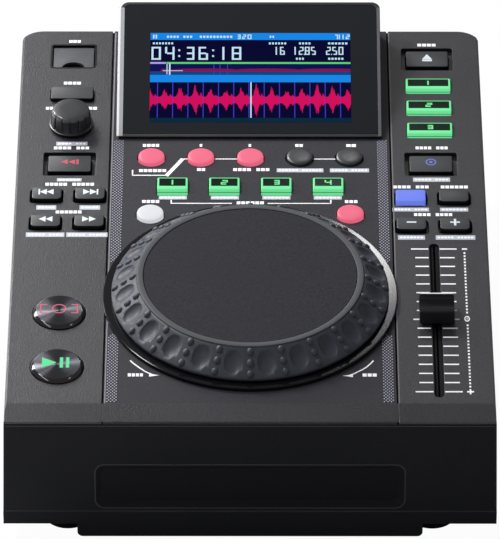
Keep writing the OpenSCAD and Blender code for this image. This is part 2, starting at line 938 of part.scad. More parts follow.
module jog_trim_ring() {
    color("silver")
        on_panel()
            translate([0, jog_v, 0])
                rotate_extrude()
                    polygon([
                        [plate_r, shelf_h], [crown_r - seam_gap, shelf_h],
                        [crown_r - seam_gap, crown_h - ring_t / 3],
                        [crown_r - seam_gap - ring_t / 3, crown_h], [plate_r, crown_h]
                    ]);
}

module jog_touch_plate() {
    color("dimgray")
        on_panel()
            disc([0, jog_v], plate_r - seam_gap, shelf_h, crown_h - ring_t / 4);
}

module jog_shaft() {
    shoulder_r = shaft_r + 3;
    disc_h = -bearing_d - over;
    color("silver")
        on_panel() {
            disc([0, jog_v], shaft_r, disc_h, shelf_h - seam_gap);
            disc([0, jog_v], shoulder_r, base_ring_h + seat_gap, hub_h);
            disc([0, jog_v], encoder_r, disc_h - over, disc_h);
        }
}

module jog_bearing() {
    color("silver")
        on_panel()
            difference() {
                union() {
                    disc([0, jog_v], bearing_r, -bearing_d, base_ring_h / 2);
                    disc([0, jog_v], bearing_r + hub_r / 3, 0, base_ring_h);
                }
                disc([0, jog_v], shaft_r + run_gap, -2 * bearing_d, 2 * base_ring_h);
            }
}

// The part of a key under its cap: a flange that holds it in the panel, and the stem on its switch
module key_foot(place, under) {
    disc(place, stem_r, stem_end, -under - seat_gap);
}

// A key with a rectangular cap
module flat_key(place, w, l, under, top) {
    reach = 2 * (key_gap + flange_w);
    low = -under - seat_gap - flange_t;
    on_panel() {
        round_block(place, w, l, key_r, low, top);
        round_block(place, w + reach, l + reach, key_r + key_gap, low, low + flange_t);
        key_foot(place, under);
    }
}

// A key with a round cap and a bevelled rim
module round_key(place, r, top, bevel) {
    low = -wall - seat_gap - flange_t;
    on_panel() {
        disc(place, r, low, top - bevel);
        translate([place[0], place[1], top - bevel])
            cylinder(r1 = r, r2 = r - 1.6 * bevel, h = bevel);
        disc(place, r + key_gap + flange_w, low, low + flange_t);
        key_foot(place, wall);
    }
}

module small_key(i) {
    color("darkslategray")
        flat_key(small_places[i], small_w, small_l, wall, key_h);
}

module loop_key(i) {
    color(i < 3 ? "lightcoral" : "black")
        round_key(round_places[i], loop_r, key_h, key_h / 3);
}

module shift_key() {
    color("white")
        round_key(round_places[5], loop_r, key_h, key_h / 3);
}

module slip_key() {
    color("lightcoral")
        round_key(round_places[6], loop_r, key_h, key_h / 3);
}

module pad(i) {
    color("lightgreen")
        flat_key(pad_places[i], pad_w, pad_l, wall, key_h);
}

module source_key(i) {
    color("lightgreen")
        flat_key(source_places[i], source_w, source_l, wall, key_h);
}

module sunk_key(i) {
    color("darkslategray")
        flat_key(sunk_places[i], sunk_w, sunk_l, well_d + wall / 2, seat_gap);
}

module transport_key(i) {
    color("gray")
        round_key(transport_places[i], transport_r, key_h, key_h / 2);
}

module back_key() {
    color("darkslategray")
        flat_key(back_place, back_w, small_l, wall, key_h);
}

module browse_knob() {
    foot_t = 1;
    foot_out = 0.5;
    pin_top = knob_h - 2;
    color("darkslategray")
        on_panel()
            difference() {
                union() {
                    disc(knob_place, knob_r + foot_out, knob_foot_h, knob_foot_h + foot_t);
                    translate([knob_place[0], knob_place[1], knob_foot_h + foot_t])
                        cylinder(r1 = knob_r, r2 = knob_top_r, h = knob_h - knob_foot_h - foot_t);
                }
                disc(knob_place, knob_pin_r + run_gap, knob_foot_h - over, pin_top);
            }
}

module browse_plunger() {
    pin_top = knob_h - 2;
    color("silver")
        on_panel() {
            disc(knob_place, collar_r, board_h + board_t + knob_push + seat_gap, knob_foot_h - seat_gap);
            disc(knob_place, knob_pin_r, knob_foot_h - seat_gap, pin_top - seat_gap);
        }
}

module fader_body() {
    color("silver")
        on_panel()
            difference() {
                slab([column_x, fader_v], [fader_w, slot_l + 7], fader_low, -wall - seat_gap);
                slab([column_x, fader_v], [channel_w, slot_l], fader_low + 2 * sheet_t, 0);
            }
}

module fader_cap() {
    foot_h = 0.6;
    lean = 0.8;
    hollow_d = 2;
    lever_top = cap_h / 2;
    place = [column_x, fader_v + fader_rest];
    on_panel() {
        color("black")
            difference() {
                translate([place[0], place[1], 0])
                    along_x(cap_w)
                        polygon([
                            [-cap_l / 2, foot_h], [cap_l / 2, foot_h], [cap_l / 2 - lean, cap_h],
                            [lean - cap_l / 2, cap_h]
                        ]);
                translate([place[0], place[1], cap_h + cap_hollow_r - hollow_d])
                    rotate([0, 90, 0])
                        cylinder(r = cap_hollow_r, h = 2 * cap_w, center = true);
                slab(
                    place, [lever_t + 2 * run_gap, lever_l + 2 * run_gap],
                    0, lever_top + run_gap
                );
            }
        color("silver") {
            slab(place, [lever_t, lever_l], fader_low + 3 * sheet_t, lever_top);
            slab(
                place, [channel_w - 2 * seat_gap, 2 * lever_l],
                fader_low + 2 * sheet_t + seat_gap, -wall - 2 * seat_gap
            );
        }
    }
}

module port_cover() {
    front_v = port_place[1] - port_l / 2 + key_gap;
    cover_w = port_w - 2 * key_gap;
    color("dimgray")
        on_panel() {
            difference() {
                translate([-column_x - cover_w / 2, front_v, cover_h - cover_t])
                    cube([cover_w, hinge_v - front_v, cover_t]);
                round_block(
                    [port_place[0], front_v], notch_w, 2 * notch_l, notch_l / 2,
                    cover_h - 2 * cover_t, over
                );
            }
            translate([port_place[0], hinge_v, hinge_h])
                rotate([0, 90, 0]) {
                    cylinder(r = barrel_r, h = cover_w, center = true);
                    cylinder(r = pin_r, h = port_w + 2 * pin_l - 2 * seat_gap, center = true);
                }
        }
}

module port_socket() {
    mouth = cover_h - cover_t - seat_gap;
    floor_h = -port_d - wall / 2;
    shell = 0.5;
    tongue_t = 1.9;
    room = 5.2;
    color("silver")
        on_panel() {
            difference() {
                union() {
                    slab(port_place, [socket_w, socket_h], floor_h - port_d, mouth);
                    slab(port_place, [socket_w + wall, socket_h + wall], floor_h - sheet_t, floor_h);
                }
                slab(
                    port_place, [socket_w - 2 * shell, socket_h - 2 * shell],
                    floor_h - port_d + shell, over
                );
            }
            slab(
                port_place, [socket_w - 4 * shell, tongue_t],
                floor_h - port_d + shell, mouth - room
            );
        }
}

module disc_tray() {
    top = tray_z + tray_t;
    rear = tray_front_y + tray_l;
    backlash = 0.3;
    root_x = rack_x - 1.25 * gear_m;
    tip_x = rack_x + gear_m;
    lean = tan(20);
    mid = rack_pitch / 4 - backlash / 2;
    first_y = gear_y - 2.5 * rack_pitch;
    count = floor((rear - first_y) / rack_pitch);
    color("dimgray")
        difference() {
            union() {
                slab([0, tray_front_y + tray_l / 2], [tray_w, tray_l], tray_z, top);
                translate([root_x - rack_w, first_y - rack_pitch / 2, tray_z - rack_h])
                    cube([rack_w, count * rack_pitch, rack_h]);
                translate([0, 0, tray_z - rack_h])
                    linear_extrude(rack_h)
                        for (i = [0:count - 1])
                            polygon([
                                [root_x - over, first_y + i * rack_pitch - mid - 1.25 * gear_m * lean],
                                [root_x, first_y + i * rack_pitch - mid - 1.25 * gear_m * lean],
                                [tip_x, first_y + i * rack_pitch - mid + gear_m * lean],
                                [tip_x, first_y + i * rack_pitch + mid - gear_m * lean],
                                [root_x, first_y + i * rack_pitch + mid + 1.25 * gear_m * lean],
                                [root_x - over, first_y + i * rack_pitch + mid + 1.25 * gear_m * lean]
                            ]);
            }
            disc([0, spindle_y], disc_r, top - disc_d, top + over);
            disc([0, spindle_y], slot_r, tray_z - over, top + over);
            slab(
                [0, (spindle_y + rear) / 2 + over], [2 * slot_r, rear - spindle_y + 2 * over],
                tray_z - over, top + over
            );
        }
}

module tray_door() {
    color("black")
        translate([0, front_y + door_in + door_t / 2, door_z])
            along_y(door_t)
                round_rect(door_w, door_h, door_r);
}

// Angle between a tooth's middle and its flank, at a radius r of the gear
function flank(r, base_r, half) =
    let (a = r > base_r ? acos(base_r / r) : 0)
    half - (tan(a) * 180 / PI - a);

module tray_gear() {
    pressure = 20;
    base_r = gear_r * cos(pressure);
    tip_r = gear_r + gear_m;
    root_r = gear_r - 1.25 * gear_m;
    half = 90 / gear_teeth + tan(pressure) * 180 / PI - pressure;
    radii = [for (i = [0:5]) root_r + i * (tip_r - root_r) / 5];
    step = 360 / gear_teeth;
    color("white")
        translate([gear_x, gear_y, gear_z])
            rotate([0, 0, 180])
                difference() {
                    linear_extrude(gear_t)
                        polygon([
                            for (tooth = [0:gear_teeth - 1])
                                for (p = concat(
                                    [for (r = radii) [r, tooth * step - flank(r, base_r, half)]],
                                    [
                                        for (i = [5:-1:0])
                                            [radii[i], tooth * step + flank(radii[i], base_r, half)]
                                    ]
                                ))
                                    p[0] * [cos(p[1]), sin(p[1])]
                        ]);
                    disc([0, 0], gear_post_r + run_gap, -over, gear_t + over);
                }
}

module drive_frame() {
    floor_top = frame_z + frame_floor;
    outer = 2 * (frame_in + frame_wall);
    mid_y = (frame_front + frame_rear) / 2;
    long = frame_rear - frame_front;
    top = tray_z + tray_t + seat_gap;
    front_post_y = sled_y - 2 - rod_post;
    sled_motor_l = 7;
    color("lightsteelblue")
        difference() {
            union() {
                slab([0, mid_y], [outer, long], frame_z, floor_top);
                for (x = [-1, 1]) {
                    slab(
                        [x * (frame_in + frame_wall / 2), mid_y], [frame_wall, long],
                        frame_z, frame_z + frame_h
                    );
                    slab(
                        [x * (frame_in - guide_w / 2), mid_y], [guide_w, long],
                        tray_z - seat_gap - frame_floor, tray_z - seat_gap
                    );
                    slab([x * (frame_in - guide_w / 2), mid_y], [guide_w, long], top, top + frame_floor);
                }
                slab([0, spindle_y], [outer, bridge_w], bridge_z, bridge_z + bridge_t);
                for (y = [front_post_y, rod_end_y])
                    slab(
                        [(lead_x + rod_post - rod_x - rod_post) / 2, y + rod_post / 2],
                        [lead_x + rod_x + 2 * rod_post, rod_post], frame_z, rod_z + rod_post
                    );
                disc([gear_x, gear_y], 2 * gear_post_r, frame_z, gear_z);
                disc([gear_x, gear_y], gear_post_r, frame_z, gear_z + gear_t);
            }
            disc([0, spindle_y], clamp_r + over, bridge_z - over, bridge_z + 2 * bridge_t);
            for (p = drive_screws)
                disc(p, screw_r + run_gap, frame_z - over, floor_top + over);
            for (x = [-rod_x, rod_x])
                translate([x, 0, rod_z])
                    along_y(2 * body_d)
                        circle(rod_r + run_gap);
            translate([lead_x, 0, rod_z])
                along_y(2 * body_d)
                    circle(lead_r + run_gap);
        }
    color("silver") {
        for (x = [-rod_x, rod_x])
            translate([x, (front_post_y + rod_end_y + rod_post) / 2, rod_z])
                along_y(rod_end_y + rod_post - front_post_y)
                    circle(rod_r);
        difference() {
            disc([0, spindle_y], motor_r, floor_top, tray_z - 2);
            disc([0, spindle_y], rod_r + run_gap, floor_top + over, tray_z);
        }
        translate([lead_x, rod_end_y + rod_post + sled_motor_l / 2, rod_z])
            along_y(sled_motor_l)
                circle(lead_r + 3);
    }
}

module turntable() {
    table_z = tray_z + tray_t - disc_d + 2;
    hub_top_r = 6;
    disc_bore_r = 7.4;
    bridge_top = bridge_z + bridge_t;
    color("black") {
        disc([0, spindle_y], table_r, table_z - 2.4, table_z);
        translate([0, spindle_y, table_z])
            cylinder(r1 = disc_bore_r, r2 = hub_top_r, h = 2.2);
        disc([0, spindle_y], clamp_r, tray_z + tray_t + 2 * seat_gap, bridge_top + seat_gap);
        disc([0, spindle_y], clamp_r + 3, bridge_top + seat_gap, bridge_top + 1.8);
    }
    color("silver")
        disc([0, spindle_y], rod_r, frame_z + frame_floor + 2, table_z - 2);
}

module pickup_sled() {
    arm_w = lead_x + rod_post - rod_x;
    lens_r = 3.6;
    color("dimgray")
        difference() {
            union() {
                slab([0, sled_y + sled_l / 2], [2 * (rod_x + rod_post), sled_l], sled_z, sled_z + sled_h);
                slab([rod_x + arm_w / 2, sled_y + sled_l / 2], [arm_w, sled_h], sled_z, sled_z + sled_h);
                disc([0, sled_y + 2 * lens_r], lens_r, sled_z, tray_z + 0.5);
            }
            for (x = [-rod_x, rod_x])
                translate([x, 0, rod_z])
                    along_y(2 * body_d)
                        circle(rod_r + run_gap);
            translate([lead_x, 0, rod_z])
                along_y(2 * body_d)
                    circle(lead_r + run_gap);
        }
}

module lead_screw() {
    start_y = sled_y - 2 - rod_post;
    end_y = rod_end_y + rod_post;
    color("silver")
        translate([lead_x, (start_y + end_y) / 2, rod_z])
            along_y(end_y - start_y)
                circle(lead_r);
}

// A rectangular hole in the dish for a socket
module rear_hole(x, z, w, h) {
    slab(
        [x, dish_y], [w + 2 * run_gap, 2 * dish_d], z - h / 2 - run_gap, z + h / 2 + run_gap
    );
}

module rear_panel() {
    rim_y = rear_y - wall - seam_gap;
    rim = 4;
    color("dimgray")
        difference() {
            union() {
                slab(
                    [0, rim_y - sheet_t / 2], [rear_w + 2 * rim, sheet_t],
                    rear_mid_z - rear_h / 2 - rim, rear_mid_z + rear_h / 2 + rim
                );
                slab(
                    [0, (dish_y - sheet_t + rim_y) / 2], [rear_w, dish_d + sheet_t],
                    rear_mid_z - rear_h / 2, rear_mid_z + rear_h / 2
                );
            }
            slab(
                [0, dish_y + dish_d], [rear_w - 2 * sheet_t, 2 * dish_d],
                rear_mid_z - rear_h / 2 + sheet_t, rear_mid_z + rear_h / 2 - sheet_t
            );
            for (x = output_xs)
                translate([x, dish_y, output_z])
                    along_y(2 * dish_d)
                        circle(output_r + run_gap);
            translate([start_x, dish_y, output_z])
                along_y(2 * dish_d)
                    circle(start_r + run_gap);
            rear_hole(data_x, output_z, data_w, data_h);
            rear_hole(inlet_x, rear_mid_z, inlet_w, inlet_h);
            rear_hole(rocker_x, rocker_z, frame_w, switch_h);
        }
}

// A round socket in the rear panel with a hollow barrel
module round_socket(x, r, hole_r, long) {
    body_w = 12;
    body_l = 10;
    body_h = 14;
    back = dish_y - sheet_t - body_l / 2;
    difference() {
        union() {
            slab([x, back], [body_w, body_l], output_z - body_h / 2, output_z + body_h / 2);
            translate([x, (back + dish_y + long) / 2, output_z])
                along_y(dish_y + long - back)
                    circle(r);
        }
        translate([x, dish_y + long, output_z])
            along_y(2 * long)
                circle(hole_r);
    }
}

// A rectangular socket in the rear panel, open to the rear
module box_socket(x, z, w, h, l, hole_w, hole_h, hole_l) {
    difference() {
        slab([x, socket_face - l / 2], [w, l], z - h / 2, z + h / 2);
        slab([x, socket_face], [hole_w, 2 * hole_l], z - hole_h / 2, z + hole_h / 2);
    }
}

module rear_sockets() {
    insulator_r = 2;
    contact_r = 1;
    contact_l = dish_d - 2;
    tongue_w = 5.6;
    tongue_h = 3.2;
    tongue_l = 8;
    tongue_y = socket_face - data_l + 2 * socket_wall;
    pin_w = 2;
    pin_h = 4;
    pin_l = 12;
    pin_y = socket_face - inlet_l + 2 * socket_wall;
    color("black") {
        for (x = output_xs) {
            round_socket(x, output_r, output_r - socket_wall / 2, dish_d - 1);
            translate([x, dish_y + contact_l / 2 - over, output_z])
                along_y(contact_l)
                    difference() {
                        circle(insulator_r);
                        circle(contact_r);
                    }
        }
        round_socket(start_x, start_r, start_r - 2.2, 2);
        box_socket(
            data_x, output_z, data_w, data_h, data_l,
            data_w - 2 * socket_wall, data_h - 2 * socket_wall, data_l - 2 * socket_wall
        );
        slab(
            [data_x, tongue_y + tongue_l / 2 - over], [tongue_w, tongue_l],
            output_z - tongue_h / 2, output_z + tongue_h / 2
        );
        box_socket(
            inlet_x, rear_mid_z, inlet_w, inlet_h, inlet_l,
            inlet_w - 2 * socket_wall, inlet_h - 2 * socket_wall, inlet_l - 2 * socket_wall
        );
        difference() {
            box_socket(
                rocker_x, rocker_z, frame_w, switch_h, switch_l,
                rocker_w + 2 * rocker_gap, 2 * rocker_room, switch_l - 4
            );
            translate([rocker_x, rocker_y, rocker_z])
                rotate([0, 90, 0])
                    cylinder(r = rocker_pin_r + run_gap, h = frame_w - over, center = true);
        }
    }
    color("silver")
        for (p = [[-7, -2], [0, 2], [7, -2]])
            slab(
                [inlet_x + p[0], pin_y + pin_l / 2 - over], [pin_w, pin_l],
                rear_mid_z + p[1] - pin_h / 2, rear_mid_z + p[1] + pin_h / 2
            );
}

module power_rocker() {
    tilt = 8; // lean of the rocker when it is off
    color("red")
        translate([rocker_x, rocker_y, rocker_z])
            rotate([tilt, 0, 0]) {
                along_x(rocker_w)
                    polygon([
                        [4.6, -rocker_end + 0.6], [3.6, 0], [4.6, rocker_end - 0.6],
                        [-1, rocker_end - 1.6], [-3, 0], [-1, -rocker_end + 1.6]
                    ]);
                rotate([0, 90, 0])
                    cylinder(r = rocker_pin_r, h = frame_w - over - seat_gap, center = true);
            }
}

// A control board under the panel with a switch under each key
module key_board(x, v0, v1, w, places) {
    on_panel() {
        slab([x, (v0 + v1) / 2], [w, v1 - v0], board_h - board_t, board_h);
        for (p = places)
            slab(p, [switch_w, switch_w], board_h, board_h + switch_t);
    }
}

module circuit_boards() {
    side_w = pair_step + switch_w;
    chip_h = 2;
    tall = 5.5 * board_gap;
    color("darkgreen") {
        key_board(
            -column_x, small_places[2][1] - switch_w, back_place[1] + switch_w, side_w,
            concat([for (i = [0:3]) small_places[i]], [sunk_places[0], back_place])
        );
        key_board(
            column_x, small_places[7][1] - switch_w, sunk_places[1][1] + switch_w, side_w,
            concat([for (i = [4:7]) small_places[i]], source_places, [sunk_places[1], sunk_places[2]])
        );
        key_board(
            0, round_places[5][1] - switch_w, loop_places[0][1] + switch_w,
            4 * loop_step + 2 * switch_w, concat(round_places, pad_places)
        );
        key_board(
            -transport_x, play_v - 2 * switch_w, cue_v + 2 * switch_w, 4 * switch_w, transport_places
        );
        for (side = [-1, 1])
            slab(
                [side * main_board_x, main_board_y], [main_board_w, main_board_l],
                main_board_z, main_board_z + board_t
            );
    }
    color("silver")
        on_panel()
            difference() {
                slab(knob_place, [encoder_w, encoder_w], board_h, -wall - seat_gap);
                disc(knob_place, collar_r + run_gap, board_h + board_t, 0);
            }
    color("black") {
        top = main_board_z + board_t;
        slab([-main_board_x, main_board_y], [main_board_w / 4, main_board_w / 4], top, top + chip_h);
        slab(
            [-1.5 * main_board_x, main_board_y], [main_board_w / 8, main_board_l / 4],
            top, top + chip_h
        );
        slab([main_board_x, main_board_y], [main_board_w / 3, main_board_l / 3], top, top + tall);
        disc([main_board_x / 3, main_board_y], main_board_w / 10, top, top + tall);
    }
}

bottom_case();
top_case();
front_panel();
centre_panel();
screen_housing();
screen_lens();
display_module();
rear_panel();
rear_sockets();
power_rocker();
feet();
screws();
circuit_boards();
jog_base_ring();
jog_wheel();
jog_trim_ring();
jog_touch_plate();
jog_shaft();
jog_bearing();
browse_knob();
browse_plunger();
fader_body();
fader_cap();
port_cover();
port_socket();
disc_tray();
tray_door();
tray_gear();
drive_frame();
turntable();
pickup_sled();
lead_screw();
back_key();
sunk_key(0);  // direction_key
small_key(0);  // track_back_key
small_key(1);  // track_next_key
small_key(2);  // search_back_key
small_key(3);  // search_next_key
transport_key(0);  // cue_key
transport_key(1);  // play_key
loop_key(0);  // loop_key_1
loop_key(1);  // loop_key_2
loop_key(2);  // loop_key_3
loop_key(3);  // loop_key_4
loop_key(4);  // loop_key_5
pad(0);  // pad_1
pad(1);  // pad_2
pad(2);  // pad_3
pad(3);  // pad_4
shift_key();
slip_key();
sunk_key(1);  // eject_key
source_key(0);  // source_key_1
source_key(1);  // source_key_2
source_key(2);  // source_key_3
sunk_key(2);  // jog_mode_key
small_key(4);  // key_lock_key
small_key(5);  // tap_key
small_key(6);  // bend_minus_key
small_key(7);  // bend_plus_key
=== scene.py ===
# Dresses a tabletop disc and media player: keys, jog wheel, knob, fader, screen, print, finishes and stage.

import json
import math

import bmesh
import bpy
from mathutils import Matrix, Vector

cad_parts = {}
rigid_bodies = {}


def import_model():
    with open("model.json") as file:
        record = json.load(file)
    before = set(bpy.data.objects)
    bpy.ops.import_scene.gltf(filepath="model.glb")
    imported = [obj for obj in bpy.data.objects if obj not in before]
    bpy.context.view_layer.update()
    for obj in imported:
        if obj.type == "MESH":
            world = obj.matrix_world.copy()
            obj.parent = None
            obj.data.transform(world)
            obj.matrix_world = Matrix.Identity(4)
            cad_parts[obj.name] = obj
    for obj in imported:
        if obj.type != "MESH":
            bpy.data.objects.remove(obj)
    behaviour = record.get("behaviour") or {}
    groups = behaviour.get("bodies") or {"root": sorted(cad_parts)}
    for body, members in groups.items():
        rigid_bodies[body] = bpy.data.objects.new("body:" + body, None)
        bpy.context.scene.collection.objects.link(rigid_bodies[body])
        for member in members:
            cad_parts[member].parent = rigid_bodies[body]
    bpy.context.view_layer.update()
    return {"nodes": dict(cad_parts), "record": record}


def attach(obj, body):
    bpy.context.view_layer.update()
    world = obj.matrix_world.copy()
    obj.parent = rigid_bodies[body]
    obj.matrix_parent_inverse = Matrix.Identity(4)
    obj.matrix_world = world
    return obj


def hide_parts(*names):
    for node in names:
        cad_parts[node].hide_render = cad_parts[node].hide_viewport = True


bl_info = {
    "name": "Tabletop disc and media player",
    "version": (1, 0, 0),
    "blender": (4, 5, 0),
    "location": "View3D > Sidebar > Player",
    "description": "Builds the detailed pieces and finishes of a tabletop disc and media player",
    "category": "Object",
}

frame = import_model()

# Sizes below are in millimetres on the sloping panel: x across, v up the slope, h above the surface.
MM = 0.001
IN_MM = Matrix.Scale(MM, 4)
CREASE = Matrix.Translation((0, -0.1345, 0.0685))  # where the panel meets the strip in front of it
INK = 0.05  # rise of print and signs
KEY_FOOT, KEY_TOP = -3.4, 1.8
WELL_KEY_FOOT, WELL_KEY_TOP = -4.2, 0.3  # of the keys in sunken wells
COLUMN_X = 85.0
SMALL_KEYS = {
    "track_back_key": (-95.1, 150.87), "track_next_key": (-74.9, 150.87),
    "search_back_key": (-95.1, 130.27), "search_next_key": (-74.9, 130.27),
    "key_lock_key": (74.9, 149.17), "tap_key": (95.1, 149.17),
    "bend_minus_key": (74.9, 128.07), "bend_plus_key": (95.1, 128.07),
}
SUNK_KEYS = {"direction_key": (-85, 175.67), "eject_key": (85, 258.47), "jog_mode_key": (85, 175.67)}
ROUND_KEYS = {
    "loop_key_1": (-46.6, 180.37), "loop_key_2": (-23.3, 180.37), "loop_key_3": (0, 180.37),
    "loop_key_4": (23.3, 180.37), "loop_key_5": (46.6, 180.37),
    "shift_key": (-46.6, 137.17), "slip_key": (46.6, 137.17),
}
PADS = {
    "pad_1": (-36.45, 157.67), "pad_2": (-12.15, 157.67), "pad_3": (12.15, 157.67), "pad_4": (36.45, 157.67),
}
SOURCE_KEYS = {"source_key_1": (85, 236.17), "source_key_2": (85, 218.67), "source_key_3": (85, 201.17)}
TRANSPORT_KEYS = {"cue_key": (-87.1, 64.1), "play_key": (-87.1, 25.5)}
KNOB_PLACE = (-85, 205.67)
JOG_PLACE = (0, 75.63)
FADER_PLACE = (85.0, 62.3)
FADER_SLOT_V = 59.8
PORT_V = 260.67


def linear(colour):
    """Blender's linear values of a colour written from 0 to 255. Four values are linear already."""
    if len(colour) == 4:
        return tuple(colour)
    shares = [part / 255 for part in colour]
    return tuple(s / 12.92 if s <= 0.04045 else ((s + 0.055) / 1.055) ** 2.4 for s in shares) + (1.0,)


def shade(colour, factor):
    """The colour made darker or lighter by a factor."""
    return tuple(min(part * factor, 1) for part in linear(colour)[:3]) + (1.0,)


# Sizes and colours that a user would change


def colour_of(name, description, *colour):
    return bpy.props.FloatVectorProperty(
        name=name, description=description, subtype="COLOR", size=4, default=linear(colour))


class PLAYER_PG_sizes(bpy.types.PropertyGroup):
    tilt: bpy.props.FloatProperty(
        name="Panel slope", description="Slope of the top panel", default=math.radians(5), subtype="ANGLE")
    screen_tilt: bpy.props.FloatProperty(
        name="Screen slope", description="Slope of the screen above the panel",
        default=math.radians(14.6), subtype="ANGLE")
    dimples: bpy.props.IntProperty(
        name="Dimples", description="Finger dimples round the jog wheel", default=24, min=8, max=40)
    flutes: bpy.props.IntProperty(
        name="Flutes", description="Grooves round the browse knob", default=14, min=8, max=60)
    key_rim: bpy.props.FloatProperty(
        name="Key rim", description="Rounding of the rim of a key", default=0.0004, unit="LENGTH")
    edge: bpy.props.FloatProperty(
        name="Edge rounding", description="Rounding of the case's edges", default=0.0005, unit="LENGTH")
    lamp_level: bpy.props.FloatProperty(
        name="Lamp level", description="Strength of the studio lamps", default=1.0, min=0, max=4)


class PLAYER_PG_colours(bpy.types.PropertyGroup):
    case: colour_of("Case", "Painted upper case", 39, 38, 43)
    panel: colour_of("Centre panel", "Sheet in the middle", 48, 47, 52)
    black: colour_of("Black parts", "Front, skirt and bezel", 18, 19, 23)
    grip: colour_of("Finger ring", "Ring of the jog wheel", 64, 66, 74)
    key: colour_of("Keys", "Unlit keys", 46, 47, 51)
    ink: colour_of("Print", "White print", 238, 239, 242)
    green: colour_of("Green light", "Pads and source keys", 121, 240, 164)
    pink: colour_of("Pink light", "Lit round keys", 237, 109, 136)
    blue: colour_of("Blue light", "Lit small key", 112, 133, 238)


def sizes():
    return bpy.context.scene.player_sizes


def colours():
    return bpy.context.scene.player_colours


# Places


def on_panel():
    """Millimetres on the sloping panel."""
    return CREASE @ Matrix.Rotation(sizes().tilt, 4, "X") @ IN_MM


def on_strip():
    """Millimetres on the bevelled strip in front of the crease, towards the front for negative v."""
    return CREASE @ Matrix.Rotation(math.atan2(2.8, 11.0), 4, "X") @ IN_MM


def on_rear():
    """Millimetres on the rear plate as seen from behind, x to the right and v up."""
    upright = Matrix.Rotation(math.pi, 4, "Z") @ Matrix.Rotation(math.pi / 2, 4, "X")
    return Matrix.Translation((0, 0.13375, 0)) @ upright @ IN_MM


def on_screen():
    """Millimetres on the face of the screen, up from its front edge."""
    return on_panel() @ Matrix.Translation((0, 195.17, 1.4)) @ Matrix.Rotation(sizes().screen_tilt, 4, "X")


def on_picture():
    """Millimetres on the picture, which is a little shorter than the glass."""
    return on_screen() @ Matrix.Translation((0, -0.21, 0)) @ Matrix.Scale(0.98875, 4, (0, 1, 0))


def on_jog():
    """Millimetres on the panel, from the axis of the jog wheel."""
    return on_panel() @ Matrix.Translation((*JOG_PLACE, 0))


# Modelling steps, each an edit-mode step on the piece in hand


def only(*pieces):
    """Selects these pieces and nothing else. The last becomes the active one."""
    bpy.ops.object.select_all(action="DESELECT")
    for piece in pieces:
        piece.select_set(True)
    bpy.context.view_layer.objects.active = pieces[-1]


def begin(name, *materials):
    """A new empty piece in edit mode, with a slot for each material and nothing else selected."""
    if bpy.context.mode != "OBJECT":
        bpy.ops.object.mode_set(mode="OBJECT")
    piece = bpy.data.objects.new(name, bpy.data.meshes.new(name))
    bpy.context.scene.collection.objects.link(piece)
    for material in materials:
        piece.data.materials.append(material)
    only(piece)
    bpy.ops.object.mode_set(mode="EDIT")
    bpy.ops.mesh.select_mode(type="FACE")
    return piece


def pick(kind, test, among_selected=False):
    """Selects the vertices, edges or faces that pass the test."""
    def items():
        mesh = bmesh.from_edit_mesh(bpy.context.edit_object.data)
        return mesh, {"VERT": mesh.verts, "EDGE": mesh.edges, "FACE": mesh.faces}[kind]

    chosen = [i.index for i in items()[1] if (i.select or not among_selected) and test(i)]
    bpy.ops.mesh.select_mode(type=kind)
    bpy.ops.mesh.select_all(action="DESELECT")
    mesh, found = items()
    found.ensure_lookup_table()
    for index in chosen:
        found[index].select_set(True)
    mesh.select_flush_mode()
    bmesh.update_edit_mesh(bpy.context.edit_object.data)
    return len(chosen)


def paint(index):
    """Gives the selected faces the material in that slot."""
    bpy.context.object.active_material_index = index
    bpy.ops.object.material_slot_assign()


def paint_linked(index):
    """Gives everything that hangs on the selection the material in that slot."""
    bpy.ops.mesh.select_linked()
    paint(index)


def paint_sides(index):
    """Gives every face that doesn't face up the material in that slot: painted shade on the sides."""
    pick("FACE", lambda f: f.normal.z < 0.8)
    paint(index)


def stretch(x, y, z, centre):
    """Scales the selection about a point."""
    bpy.ops.transform.resize(value=(x, y, z), center_override=centre)


def push(x, y, z):
    """Extrudes the selected faces."""
    bpy.ops.mesh.extrude_region_move(TRANSFORM_OT_translate={"value": (x, y, z)})


def bevel(offset, segments, affect="EDGES"):
    bpy.ops.mesh.bevel(offset=offset, offset_type="OFFSET", segments=segments, affect=affect)


def sheet(x, v, width, length, h, turn=0.0):
    """Adds a flat rectangle, left selected."""
    bpy.ops.mesh.primitive_plane_add(size=1, location=(x, v, h))
    stretch(width, length, 1, (x, v, h))
    if turn:
        bpy.ops.transform.rotate(value=-turn, orient_axis="Z", center_override=(x, v, h))


def sheets(rows, h=0.0):
    """Adds flat rectangles, each as x, v, width and length."""
    for row in rows:
        sheet(*row, h)


def raise_by(height):
    """Extrudes the selected faces upwards."""
    bpy.ops.mesh.select_mode(type="FACE")
    push(0, 0, height)


def raise_all(height):
    """Extrudes every face of the piece upwards."""
    bpy.ops.mesh.select_all(action="SELECT")
    raise_by(height)


def mark(index, x, v, width, length, h, rise=INK):
    """Adds a thin raised bar in the material of that slot."""
    sheet(x, v, width, length, h)
    raise_by(rise)
    paint_linked(index)


def triangle(x, v, width, length, h, height, pointing):
    """Adds a raised triangle that points along x (1 or -1) or up the slope (0)."""
    sheet(x, v, width, length, h)
    if pointing:
        pick("VERT", lambda c: (c.co.x - x) * pointing > 0, among_selected=True)
    else:
        pick("VERT", lambda c: c.co.y > v, among_selected=True)
    bpy.ops.mesh.merge(type="CENTER")
    bpy.ops.mesh.select_linked()
    raise_by(height)


def mark_triangle(index, x, v, width, length, h, pointing):
    """Adds a thin raised triangle in the material of that slot."""
    triangle(x, v, width, length, h, INK, pointing)
    paint_linked(index)


